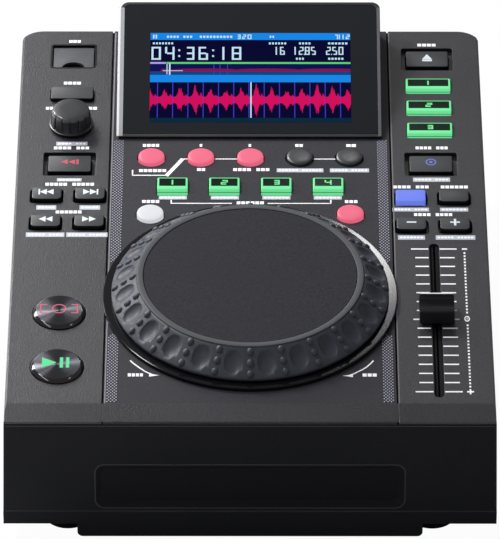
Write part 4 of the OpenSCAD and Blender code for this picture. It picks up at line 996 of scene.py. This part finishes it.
class PLAYER_OT_seams(bpy.types.Operator):
    """Painted shade in the grooves, painted highlights on the edges beside the centre panel, and painted lit
    and shaded strips on the screen housing's sides
    """
    bl_idname = "player.seams"
    bl_label = "Seams and trims"

    # Pale bars on the panel's edges beside the grooves: painted highlights, the left one lighter because it
    # faces the light.
    EDGES = (("left_panel_edge", -65.1, (122, 120, 124)), ("right_panel_edge", 66.85, (98, 96, 100)))
    # Strips on the sides of the screen housing: a painted highlight line and a painted lit side on the left,
    # a painted shaded side on the right.
    TRIMS = (
        ("left_housing_line", -62.75, 1.1, (214, 213, 216)),
        ("left_housing_trim", -61.3, 1.8, (146, 147, 152)), ("right_housing_trim", 61.3, 1.4, (84, 84, 88)),
    )

    def execute(self, context):
        # Near-black bars down in the grooves beside the centre panel: painted shade in the gaps.
        dark = moulded("seam_dark", (10, 10, 12), 0.8, speck=0.2, bump=0.0, gloss=0.02)
        self.bars("groove_fillers", dark, on_panel(), "panel_grey", 0.08, *(
            (side * 66.1, 140.2, 0.7, 280.2, -1.0, -0.25) for side in (-1, 1)))
        for name, x, colour in self.EDGES:
            # Each bar is a painted highlight along an edge.
            pale = moulded(name, colour, 0.4, speck=0.15, bump=0.1, gloss=0.3)
            self.bars(name, pale, on_panel(), "panel_grey", 0.02, (x, 140.0, 0.55, 280.0, 0.0, 0.05))
        case = finishes()["case_grey"]
        self.bars("strip_cover", case, on_strip(), "case_grey", 0.015, (0, -5.5, 132.9, 10.9, 0.0, 0.04))
        # Painted lit and shaded strips on the housing's sides.
        for name, x, width, colour in self.TRIMS:
            metal = moulded(name, colour, 0.4, speck=0.1, bump=0.08, gloss=0.3)
            self.bars(name, metal, on_screen(), "screen_black", 0.03, (x, 39.6, width, 78.4, -0.6, 0.08))
        return {"FINISHED"}

    def bars(self, name, finish, place, slot, rim, *boxes):
        """A piece of thin blocks, each as x, v, width, length, low and high."""
        piece = begin(name, finish)
        for box in boxes:
            block(*box, rim=rim, steps=1)
        settle(piece, place, "case")


class PLAYER_OT_front(bpy.types.Operator):
    """Front panel with its rounded, chamfered recess and painted highlight lines, and the tray door"""
    bl_idname = "player.front"
    bl_label = "Front and tray door"

    FRONT = -145.44
    LOW, HIGH = 16.65, 64.45
    HALF, UPPER_HALF = 111.27, 110.19
    RECESS_HALF, RECESS_LOW, RECESS_HIGH = 69.3, 19.1, 42.1
    FLOOR_HALF, FLOOR_HEIGHT = 67.0, 17.6
    # The pale lines round the recess, under the top edge and along the seam are painted highlights on edges
    # that catch the light.
    LINE_FRONT, LINE_THICK = -145.5, 0.4
    LINES = ((109.4, 63.45), (110.5, 16.75))  # half width and height of the straight ones
    DOOR_HALF, DOOR_LOW, DOOR_HIGH, DOOR_FRONT = 66.9, 21.9, 39.3, -143.5

    def execute(self, context):
        table = finishes()
        self.fascia(table["case_black"])
        self.lines()
        door = begin("tray_door_plate", table["door_black"])
        self.plate(self.DOOR_HALF, self.DOOR_LOW, self.DOOR_HIGH, self.DOOR_FRONT, 3.0, 1.8)
        pick("FACE", lambda f: f.calc_center_median().y < self.DOOR_FRONT + 0.1)
        bpy.ops.mesh.inset(thickness=0.35)
        settle(door, IN_MM, "tray", ["tray_door"], 25)
        return {"FINISHED"}

    def fascia(self, finish):
        front = self.FRONT
        fascia = begin("front_fascia", finish)
        self.plate(self.HALF, self.LOW, self.HIGH, front, 3.0)
        pick("VERT", lambda c: c.co.z > self.HIGH - 1)
        stretch(self.UPPER_HALF / self.HALF, 1, 1, (0, 0, self.HIGH))
        pick("EDGE", lambda e: (
            all(c.co.y < front + 0.01 for c in e.verts) and e.verts[0].co.x * e.verts[1].co.x > 0))
        bevel(0.6, 3)
        close_up()
        tool = begin("recess_tool")
        self.plate(self.RECESS_HALF, self.RECESS_LOW, self.RECESS_HIGH, front - 0.5, 0.5, 4.0)
        pick("FACE", lambda f: abs(f.normal.y) > 0.9 and f.calc_center_median().y > front - 0.1)
        push(0, 2.0, 0)
        narrower = self.FLOOR_HALF / self.RECESS_HALF
        lower = self.FLOOR_HEIGHT / (self.RECESS_HIGH - self.RECESS_LOW)
        stretch(narrower, 1, lower, (0, front, (self.RECESS_LOW + self.RECESS_HIGH) / 2))
        push(0, 3.0, 0)
        close_up()
        cut(fascia, tool)
        bpy.ops.object.mode_set(mode="EDIT")
        settle(fascia, IN_MM, "case", ["front_panel"], 25)

    def lines(self):
        # Painted highlights: a pale frame round the recess, and pale bars under the top edge and along the
        # seam.
        line = begin("front_lines", moulded("front_line", (54, 55, 60), 0.5, speck=0.2, bump=0.1, gloss=0.2))
        low, high = self.RECESS_LOW - 0.25, self.RECESS_HIGH + 0.25
        self.plate(self.RECESS_HALF + 0.2, low, high, self.LINE_FRONT, 0.3, 4.2)
        pick("FACE", lambda f: abs(f.normal.y) > 0.9)
        bpy.ops.mesh.delete(type="FACE")
        bpy.ops.mesh.select_all(action="SELECT")
        bpy.ops.mesh.solidify(thickness=self.LINE_THICK)
        for half, z in self.LINES:
            self.plate(half, z, z + self.LINE_THICK, self.LINE_FRONT, 0.3)
        settle(line, IN_MM, "case", angle=25)

    def plate(self, half, low, high, front, thick, corner=0.0):
        """Adds an upright plate with rounded corners, its front face first."""
        centre = (0, front, (low + high) / 2)
        bpy.ops.mesh.primitive_plane_add(size=1, location=centre, rotation=(math.pi / 2, 0, 0))
        stretch(2 * half, 1, high - low, centre)
        if corner:
            bevel(corner, 6, "VERTICES")
            bpy.ops.mesh.select_linked()
        bpy.ops.mesh.select_mode(type="FACE")
        push(0, thick, 0)
        bpy.ops.mesh.select_linked()


class PLAYER_OT_printing(bpy.types.Operator):
    """White print on the panel: caption dashes, label bars, scale, dots, lines and arrows"""
    bl_idname = "player.printing"
    bl_label = "Panel print"

    # Captions as x, v and width, label bars as x, v, width and length, and lines by their ends
    PLAIN = (
        (-84.7, 272.8, 6.0), (-85.2, 239.2, 8.6), (-94.7, 219.2, 5.7), (-75.0, 219.2, 4.4),
        (-84.4, 188.1, 17.0), (-84.6, 160.1, 23.2), (-84.6, 139.0, 12.4), (-46.9, 190.1, 8.1),
        (-23.1, 171.4, 4.2), (0.5, 171.4, 17.4), (-45.9, 170.6, 13.2), (23.0, 190.1, 4.0),
        (47.6, 190.1, 5.0), (0.0, 146.0, 13.1), (-46.5, 147.0, 8.4), (47.1, 147.0, 6.3), (85.0, 270.0, 9.2),
        (85.6, 188.3, 15.6), (75.2, 158.2, 17.0), (95.5, 158.2, 13.1), (85.1, 137.2, 18.2),
        (-51.7, 19.9, 7.2), (53.8, 19.9, 6.8), (-0.2, 190.1, 1.6), (-23.3, 190.1, 1.6),
    )
    BARS = (
        (-84.3, 191.4, 14.7, 2.9), (-84.9, 163.5, 11.5, 2.3), (-95.1, 142.4, 9.3, 3.2),
        (-74.8, 142.4, 9.6, 3.2), (-95.1, 121.9, 17.8, 3.3), (-75.7, 121.9, 19.1, 3.3),
        (23.4, 170.9, 21.9, 2.9), (46.6, 170.9, 18.4, 2.9), (-36.2, 149.9, 13.1, 2.6),
        (-11.9, 149.9, 13.1, 2.6), (12.2, 149.9, 13.1, 2.6), (36.2, 149.9, 13.1, 2.6),
        (85.0, 163.8, 17.4, 3.1), (74.8, 141.0, 17.0, 2.8), (95.0, 141.0, 13.1, 2.8),
        (74.7, 120.0, 12.5, 3.2), (95.1, 120.0, 18.3, 3.2),
    )
    LINES = (
        ((-16.8, 179.6), (-6.4, 179.6)), ((29.8, 179.6), (39.9, 179.6)),
        ((-55.3, 170.9), (-55.3, 167.0)), ((-55.3, 167.0), (-39.9, 167.0)), ((-31.6, 179.6), (-29.6, 179.6)),
        ((-36.9, 148.2), (-36.9, 145.6)), ((-36.9, 145.6), (-8.7, 145.6)),
        ((8.2, 145.6), (37.6, 145.6)), ((37.6, 145.6), (37.6, 148.2)),
    )
    THICK_LINE = ((-39.2, 166.9), (-32.0, 179.4))
    ARROWS = (
        (
            (-54.1, 30.0), (-52.8, 28.2), (-51.3, 26.5), (-49.5, 24.5), (-47.6, 22.6), (-46.1, 21.4),
            (-44.5, 20.4)),
        ((55.6, 30.0), (54.2, 27.8), (52.6, 25.7), (50.7, 23.8), (48.5, 22.2), (46.9, 20.9), (45.3, 20.0)),
    )
    ARROW_HEADS = ((-43.2, 19.7, 1), (44.0, 19.4, -1))
    # The fader's scale: marks on both sides of the slot, and a row of dots round the middle ring
    SLOT_SIDES = (82.3, 87.5)
    DOTS_X, MIDDLE_V, LOWEST_V = 98.9, 60.2, 8.2

    def execute(self, context):
        white = ink()
        marks = begin("panel_print", white)
        self.scale()
        for x, v, width in self.PLAIN:
            self.caption(x, v, width, 2.15, 0.0)
        for ends in self.LINES:
            self.line(*ends, 0.6)
        self.line(*self.THICK_LINE, 1.9)
        for arrow in self.ARROWS:
            for ends in zip(arrow, arrow[1:]):
                self.line(*ends, 0.7)
        raise_all(INK)
        for x, v, way in self.ARROW_HEADS:
            triangle(x, v, 4.6, 2.0, 0.0, INK * 0.9, way)
        settle_on_case(marks)
        grey = moulded("label_grey", (182, 186, 196), 0.6, speck=0.06, bump=0.02, gloss=0.1)
        bars = begin("label_bars", grey)
        sheets(self.BARS)
        raise_all(INK * 0.8)
        settle_on_case(bars)
        dashes = begin("label_dashes", white)
        for x, v, width, _ in self.BARS:
            self.caption(x, v, width - 1.4, 1.1, INK)
        raise_all(INK * 0.8)
        settle_on_case(dashes)
        return {"FINISHED"}

    def caption(self, x, v, width, tall, h):
        """A row of short dashes in the place of a caption."""
        pitch = 2.05 if tall > 1.5 else 1.6
        count = max(1, round(width / pitch))
        step = width / count
        for index in range(count):
            if count > 7 and index == count // 2:
                continue
            sheet(x - width / 2 + (index + 0.5) * step, v, step - 0.42, tall, h)

    def line(self, first, second, thick):
        dx, dv = second[0] - first[0], second[1] - first[1]
        length = math.hypot(dx, dv) + thick * 0.5
        sheet((first[0] + second[0]) / 2, (first[1] + second[1]) / 2, length, thick, 0.0, math.atan2(dv, dx))

    def scale(self):
        slot_left, slot_right = self.SLOT_SIDES
        for row in range(17):
            v = 111.4 - 6.45 * row
            left, right = (74.3, 95.4) if row in (0, 8, 16) else (76.1, 94.3)
            sheets((
                ((left + slot_left) / 2, v, slot_left - left, 0.85),
                ((right + slot_right) / 2, v, right - slot_right, 0.85)))
        sheet(99.0, 111.4, 2.4, 1.0, 0.0)
        for step in range(43):
            v = 108.4 - 2.3 * step
            if abs(v - self.MIDDLE_V) > 2.6 and v > 11:
                sheet(self.DOTS_X, v, 0.85, 1.2, 0.0)
        sheet(self.DOTS_X, self.LOWEST_V, 3.1, 1.0, 0.0)
        sheet(self.DOTS_X, self.LOWEST_V, 0.75, 3.6, 0.002)
        flat_ring(98.8, self.MIDDLE_V, 1.3, 0.75, 0.0, 0.001, 32)
        bpy.ops.mesh.select_linked()
        stretch(1, 1.6, 1, (98.8, self.MIDDLE_V, 0))
        sheet(98.8, self.MIDDLE_V, 0.5, 0.8, 0.0)


class PLAYER_OT_rear_print(bpy.types.Operator):
    """White print on the rear plate: rings and numbers of the sockets, switch marks and captions"""
    bl_idname = "player.rear_print"
    bl_label = "Rear print"

    SOCKETS = ((16.0, 1), (34.0, 2), (52.0, 3))
    CAPTIONS = (
        (-72.0, 57.2, 15.6), (-12.0, 49.6, 9.6), (34.0, 55.4, 24.0), (78.0, 48.2, 9.6), (-12.0, 30.8, 12.0),
    )
    # Bars as x, height, width and length: the rocker's on mark and the bracket round the outputs' caption
    BARS = (
        (-40.0, 56.2, 0.7, 3.0), (13.0, 53.9, 0.4, 3.4), (16.8, 55.4, 7.2, 0.4), (55.0, 53.9, 0.4, 3.4),
        (51.2, 55.4, 7.2, 0.4),
    )
    # Rings as x, height and radius: the rocker's off mark, then the start socket and the outputs
    RINGS = ((-40.0, 31.6, 1.6), (78.0, 40.0, 6.2), (16.0, 40.0, 6.0), (34.0, 40.0, 6.0), (52.0, 40.0, 6.0))

    def execute(self, context):
        marks = begin("rear_print", ink())
        for x, z, width in self.CAPTIONS:
            count = round(width / 2)
            for index in range(count):
                if index != count // 2:
                    sheet(x - width / 2 + (index + 0.5) * width / count, z, 1.5, 1.8, 0.0)
        for x, number in self.SOCKETS:
            sheets(strokes(number, x, 49.0, 2.4, 3.2, 0.5))
        sheets(self.BARS)
        raise_all(INK)
        for x, z, outer in self.RINGS:
            flat_ring(x, z, outer, outer - 0.5)
        settle(marks, on_rear(), "case")
        return {"FINISHED"}


class PLAYER_OT_mesh_strips(bpy.types.Operator):
    """Strips of a fine chequered mesh along both sides of the centre panel"""
    bl_idname = "player.mesh_strips"
    bl_label = "Mesh strips"

    # Copies and steps of the checks: across a strip, along it, and over to the other strip
    ROWS = ((3, (1.62, 0, 0)), (94, (0, 2.06, 0)), (2, (-124.25, 0, 0)))
    MIDDLE = 62.1

    def execute(self, context):
        pale = moulded("strip_pale", (162, 162, 174), 0.5, speck=0.08, bump=0.02, gloss=0.3)
        dark = moulded("strip_base", (42, 42, 52), 0.5, speck=0.1, bump=0.1, gloss=0.1)
        strips = begin("mesh_strips", pale)
        for x, v in ((0, 0), (0.81, 1.03)):
            sheet(x, v, 0.52, 0.72, INK * 0.4)
        raise_all(INK * 0.8)
        bpy.ops.object.mode_set(mode="OBJECT")
        for count, step in self.ROWS:
            rows = strips.modifiers.new("rows", "ARRAY")
            rows.count = count
            rows.use_relative_offset = False
            rows.use_constant_offset = True
            rows.constant_offset_displace = step
            bpy.ops.object.modifier_apply(modifier=rows.name)
        strips.data.transform(Matrix.Translation((60.1, 1.2, 0)))
        bpy.ops.object.mode_set(mode="EDIT")
        pick("FACE", lambda f: self.beyond(*f.calc_center_median()[:2]))
        bpy.ops.mesh.select_linked()
        bpy.ops.mesh.delete(type="FACE")
        settle_on_case(strips)
        base = begin("mesh_strip_base", dark)
        for x in (-self.MIDDLE, self.MIDDLE + 0.05):
            for step in range(194):
                if not self.beyond(x, step + 0.9):
                    sheet(x, step + 0.9, 4.9, 1.0, 0.0)
        bpy.ops.mesh.select_all(action="SELECT")
        bpy.ops.mesh.remove_doubles(threshold=0.01)
        raise_by(INK * 0.3)
        settle_on_case(base)
        return {"FINISHED"}

    def beyond(self, x, v):
        """Whether a place lies outside the strips: by the jog wheel or under the screen."""
        slant = (abs(x) - self.MIDDLE) * 1.2
        return 50.4 - slant < v < 101.0 or v > 194.2


class PLAYER_OT_screen(bpy.types.Operator):
    """Lit picture on the screen: bars, numbers and a sound wave"""
    bl_idname = "player.screen"
    bl_label = "Screen picture"

    WIDTH = 95.6
    # Bars of one colour: name, colour, height above the glass, and each bar's middle, width and length
    BANDS = (
        ("screen_field", (5, 5, 46), 0.0, ((0, 36.45, 95.7, 55.1),)),
        ("screen_top_bands", (8, 16, 82), 0.03, ((0, 41.35, WIDTH, 6.6),)),
        ("screen_teal_band", (8, 40, 58), 0.03, ((0, 10.25, WIDTH, 2.7),)),
        ("screen_blue_bands", (22, 132, 226), 0.03, ((0, 61.85, WIDTH, 4.3), (0, 35.75, WIDTH, 4.5))),
        ("screen_steel_band", (12, 66, 128), 0.05, ((0, 38.95, WIDTH, 1.9),)),
        ("screen_green_line", (96, 206, 112), 0.06, ((3.9, 45.35, 87.8, 1.1),)),
        ("screen_pale_line", (170, 160, 226), 0.06, ((-44.0, 45.35, 7.6, 1.1),)),
    )
    # Rows of dashes as left end, right end, height on the screen and length of a dash
    WORDS = (
        (-46.9, -44.4, 61.7, 2.4), (-40.2, -34.0, 61.6, 1.3), (-32.4, -27.6, 61.6, 1.3),
        (-24.5, -8.4, 61.6, 1.3), (9.0, 11.6, 61.6, 1.3), (-46.9, -36.7, 57.5, 1.2), (8.6, 17.4, 57.5, 1.2),
        (23.0, 29.0, 57.5, 1.2), (36.9, 46.7, 57.5, 1.2), (21.5, 25.8, 48.0, 1.2), (36.9, 44.7, 48.0, 1.2),
    )
    # Rows of digits: height on the screen, width, length and stroke of a digit, and each digit with its x
    DIGITS = (
        (51.3, 4.5, 8.0, 0.95, ((0, -45.0), (4, -38.5), (3, -29.0), (6, -22.5), (1, -12.9), (8, -6.6))),
        (52.9, 2.3, 4.9, 0.6, (
            (1, 12.4), (6, 15.3), (1, 21.4), (2, 24.3), (8, 27.2), (5, 30.1), (2, 37.3), (5, 40.3),
            (0, 43.3))),
        (61.6, 1.9, 2.8, 0.5, ((3, -5.6), (2, -3.0), (0, -0.4), (7, 41.0), (1, 44.4), (2, 46.6))),
    )
    # Single bars as x, height on the screen, width and length: cursors and underline, then colons and points
    SIGNS = (
        (-36.95, 40.5, 9.5, 0.3), (0.3, 22.55, 0.6, 21.8), (-39.75, 41.5, 0.4, 6.4), (-38.45, 41.5, 0.7, 7.0),
    )
    POINTS = (
        (-34.0, 49.6, 0.9, 1.0), (-34.0, 53.2, 0.9, 1.0), (-17.8, 49.6, 0.9, 1.0), (-17.8, 53.2, 0.9, 1.0),
        (42.6, 61.6, 0.5, 2.8), (25.8, 50.7, 0.5, 0.6), (38.8, 50.7, 0.5, 0.6),
    )
    WAVE_V, FIRST_BEAT, BEAT = 22.55, -44.15, 7.25

    def execute(self, context):
        for band in self.BANDS:
            self.layer(*band)
        beats = [(self.FIRST_BEAT + self.BEAT * step, self.WAVE_V, 0.45, 21.6) for step in range(13)]
        marks = [(x, 41.4, 0.4, 6.4) for x in (-17.4, -14.5, -10.9)]
        self.layer("screen_beat_lines", (62, 58, 190), 0.05, beats + marks)
        self.wave("screen_wave", (206, 14, 92), self.WAVE_V, 10.6, 420, 0.06)
        self.hills("screen_hills", (126, 22, 78), 40.0, 1.9, 120, 0.07)
        pale = list(self.SIGNS)
        for left, right, t, tall in self.WORDS:
            count = max(1, round((right - left) / 1.55))
            step = (right - left) / count
            pale += [(left + (index + 0.5) * step, t, step - 0.55, tall) for index in range(count)]
        for t, width, height, stroke, row in self.DIGITS:
            for number, x in row:
                pale += strokes(number, x, t, width, height, stroke)
        self.layer("screen_pale_marks", (196, 226, 242), 0.09, pale + list(self.POINTS))
        return {"FINISHED"}

    def layer(self, name, colour, h, bars):
        """One colour of the picture: thin bars on the glass."""
        piece = begin(name, pixels(name, colour))
        sheets(bars, h)
        raise_all(0.03)
        settle(piece, on_picture(), "case")

    def grid(self, name, colour, middle, count, h):
        """A fine strip across the picture, in edit mode, with its upper and lower corners."""
        piece = begin(name, pixels(name, colour))
        centre = (0, middle, h)
        bpy.ops.mesh.primitive_grid_add(x_subdivisions=count, y_subdivisions=1, size=1, location=centre)
        stretch(self.WIDTH, 1, 1, centre)
        return piece, bmesh.from_edit_mesh(piece.data)

    def finish_grid(self, piece):
        bmesh.update_edit_mesh(piece.data)
        raise_all(0.02)
        settle(piece, on_picture(), "case")

    def wave(self, name, colour, middle, tall, count, h):
        """A sound wave of fine spikes that swell between the beat lines."""
        piece, mesh = self.grid(name, colour, middle, count, h)
        for corner in mesh.verts:
            x = corner.co.x
            upper = corner.co.y > middle
            share = ((x - self.FIRST_BEAT) / self.BEAT) % 1.0
            swell = math.exp(-((share - 0.48) / 0.17) ** 2) + 0.35 * math.exp(-((share - 0.86) / 0.07) ** 2)
            spike = math.sin(round(x * 4.4) * 12.9898 + (7.0 if upper else 0.0)) * 43758.5453 % 1.0
            lull = 0.82 + 0.18 * math.sin(x * 0.21 + 1.0)
            half = tall * (0.18 + swell * lull * (0.3 + 0.5 * spike ** 1.3))
            corner.co.y = middle + (half if upper else -half)
        self.finish_grid(piece)

    def hills(self, name, colour, base, tall, count, h):
        """The whole track in small: low hills on a straight foot."""
        piece, mesh = self.grid(name, colour, base, count, h)
        for corner in mesh.verts:
            rise = 0.0
            if corner.co.y > base:
                hill = tall * (0.55 + 0.45 * abs(math.sin(corner.co.x * 0.105 + 0.7)) ** 0.4)
                rise = hill if corner.co.x > -43 else 0.1
            corner.co.y = base + rise
        self.finish_grid(piece)


class PLAYER_OT_stage(bpy.types.Operator):
    """Camera, lamps, pale floor and world"""
    bl_idname = "player.stage"
    bl_label = "Stage"

    # Lamps: name, place, aim, power, width and height
    LAMPS = (
        ("key_lamp", (-0.61, 0.72, 0.90), (0, 0, 0.06), 12.5, 0.2, 0.2),
        ("grip_lamp", (-0.55, 0.12, 0.86), (0, -0.06, 0.08), 3.8, 0.16, 0.16),
        ("sheen_lamp", (-0.31, 0.66, 0.50), (-0.08, 0.0, 0.08), 1.45, 0.2, 0.2),
        ("left_lamp", (-0.75, 0.45, 0.38), (0, 0, 0.07), 5.0, 0.22, 0.22),
        ("ring_glint_lamp", (0.0690, 0.449, 0.528), (0.058, -0.025, 0.078), 0.2, 0.034, 0.038),
        ("front_glint_lamp", (-0.665, -0.42, 0.72), (-0.085, -0.1, 0.08), 0.7, 0.5, 0.04),
        ("front_glint_lamp", (0.495, -0.42, 0.72), (-0.085, -0.1, 0.08), 0.16, 0.12, 0.04),
    )

    def execute(self, context):
        self.camera(context)
        for lamp in self.LAMPS:
            self.lamp(context, *lamp)
        self.floor()
        self.world(context)
        context.scene.view_settings.view_transform = "Standard"
        return {"FINISHED"}

    def camera(self, context):
        target = (-0.0001, -0.0251, 0.06784)
        distance = 2.783
        elevation = math.radians(33.55)
        roll = -0.0007
        data = bpy.data.cameras.new("camera")
        data.lens = 432.9
        data.sensor_width = 36
        data.sensor_fit = "HORIZONTAL"
        data.clip_end = 50
        eye = bpy.data.objects.new("camera", data)
        context.scene.collection.objects.link(eye)
        eye.location = (
            target[0], target[1] - distance * math.cos(elevation), target[2] + distance * math.sin(elevation))
        eye.rotation_euler = (
            math.pi / 2 - elevation, roll * math.cos(elevation), -roll * math.sin(elevation))
        context.scene.camera = eye

    def lamp(self, context, name, place, aim, power, width, height):
        data = bpy.data.lights.new(name, "AREA")
        data.shape = "RECTANGLE"
        data.size = width
        data.size_y = height
        data.energy = power * sizes().lamp_level
        lamp = bpy.data.objects.new(name, data)
        context.scene.collection.objects.link(lamp)
        lamp.location = place
        lamp.rotation_euler = (Vector(aim) - Vector(place)).to_track_quat("-Z", "Y").to_euler()

    def floor(self):
        material = bpy.data.materials.new("floor_white")
        floor = begin("floor", material)
        bpy.ops.mesh.primitive_plane_add(size=14, location=(0, 0, -0.0002))
        bpy.ops.mesh.subdivide(number_cuts=3)
        bpy.ops.object.mode_set(mode="OBJECT")
        tree = new_tree(material)
        coords = join(tree, "ShaderNodeTexCoord").outputs["Object"]
        cloud = join(tree, "ShaderNodeTexNoise", {"Vector": coords, "Scale": 3.0, "Detail": 2.0})
        tint = blend_tones(tree, cloud.outputs["Fac"], (0.93, 0.93, 0.93, 1), (0.96, 0.96, 0.96, 1))
        matte = join(tree, "ShaderNodeBsdfDiffuse", {"Color": tint})
        white = join(tree, "ShaderNodeEmission", {"Color": (1, 1, 1, 1), "Strength": 1.0})
        ray = join(tree, "ShaderNodeLightPath")
        share = join(tree, "ShaderNodeMath", {0: ray.outputs["Is Camera Ray"], 1: 0.97}, operation="MULTIPLY")
        mixed = join(tree, "ShaderNodeMixShader", {
            0: share.outputs[0], 1: matte.outputs[0], 2: white.outputs[0]})
        join(tree, "ShaderNodeOutputMaterial", {"Surface": mixed.outputs[0]})

    def world(self, context):
        world = bpy.data.worlds.new("studio")
        context.scene.world = world
        tree = new_tree(world)
        ray = join(tree, "ShaderNodeLightPath").outputs
        seen = join(tree, "ShaderNodeMath", {
            0: ray["Is Camera Ray"], 1: ray["Is Transmission Ray"]}, operation="MAXIMUM")
        shining = stretched(tree, ray["Is Glossy Ray"], 0.0, 1.0, 0.25, 0.35)
        level = join(tree, "ShaderNodeMath", {0: seen.outputs[0], 1: shining}, operation="MAXIMUM")
        sky = join(tree, "ShaderNodeBackground", {"Color": (1, 1, 1, 1), "Strength": level.outputs[0]})
        join(tree, "ShaderNodeOutputWorld", {"Surface": sky.outputs[0]})


STEPS = (
    PLAYER_OT_finishes, PLAYER_OT_jog, PLAYER_OT_small_keys, PLAYER_OT_wide_keys, PLAYER_OT_round_keys,
    PLAYER_OT_lit_keys, PLAYER_OT_transport, PLAYER_OT_knob, PLAYER_OT_fader, PLAYER_OT_port,
    PLAYER_OT_seams, PLAYER_OT_front, PLAYER_OT_printing, PLAYER_OT_rear_print,
    PLAYER_OT_mesh_strips, PLAYER_OT_screen, PLAYER_OT_stage,
)


class PLAYER_PT_panel(bpy.types.Panel):
    bl_label = "Disc and media player"
    bl_idname = "PLAYER_PT_panel"
    bl_space_type = "VIEW_3D"
    bl_region_type = "UI"
    bl_category = "Player"

    def draw(self, context):
        for group in (context.scene.player_sizes, context.scene.player_colours):
            box = self.layout.box()
            for name in group.__annotations__:
                box.prop(group, name)
        for step in STEPS:
            self.layout.operator(step.bl_idname)


CLASSES = (PLAYER_PG_sizes, PLAYER_PG_colours) + STEPS + (PLAYER_PT_panel,)


def register():
    for entry in CLASSES:
        bpy.utils.register_class(entry)
    bpy.types.Scene.player_sizes = bpy.props.PointerProperty(type=PLAYER_PG_sizes)
    bpy.types.Scene.player_colours = bpy.props.PointerProperty(type=PLAYER_PG_colours)


def unregister():
    del bpy.types.Scene.player_colours
    del bpy.types.Scene.player_sizes
    for entry in reversed(CLASSES):
        bpy.utils.unregister_class(entry)


def main():
    register()
    for step in STEPS:
        group, name = step.bl_idname.split(".")
        getattr(getattr(bpy.ops, group), name)()


if __name__ == "__main__":
    main()
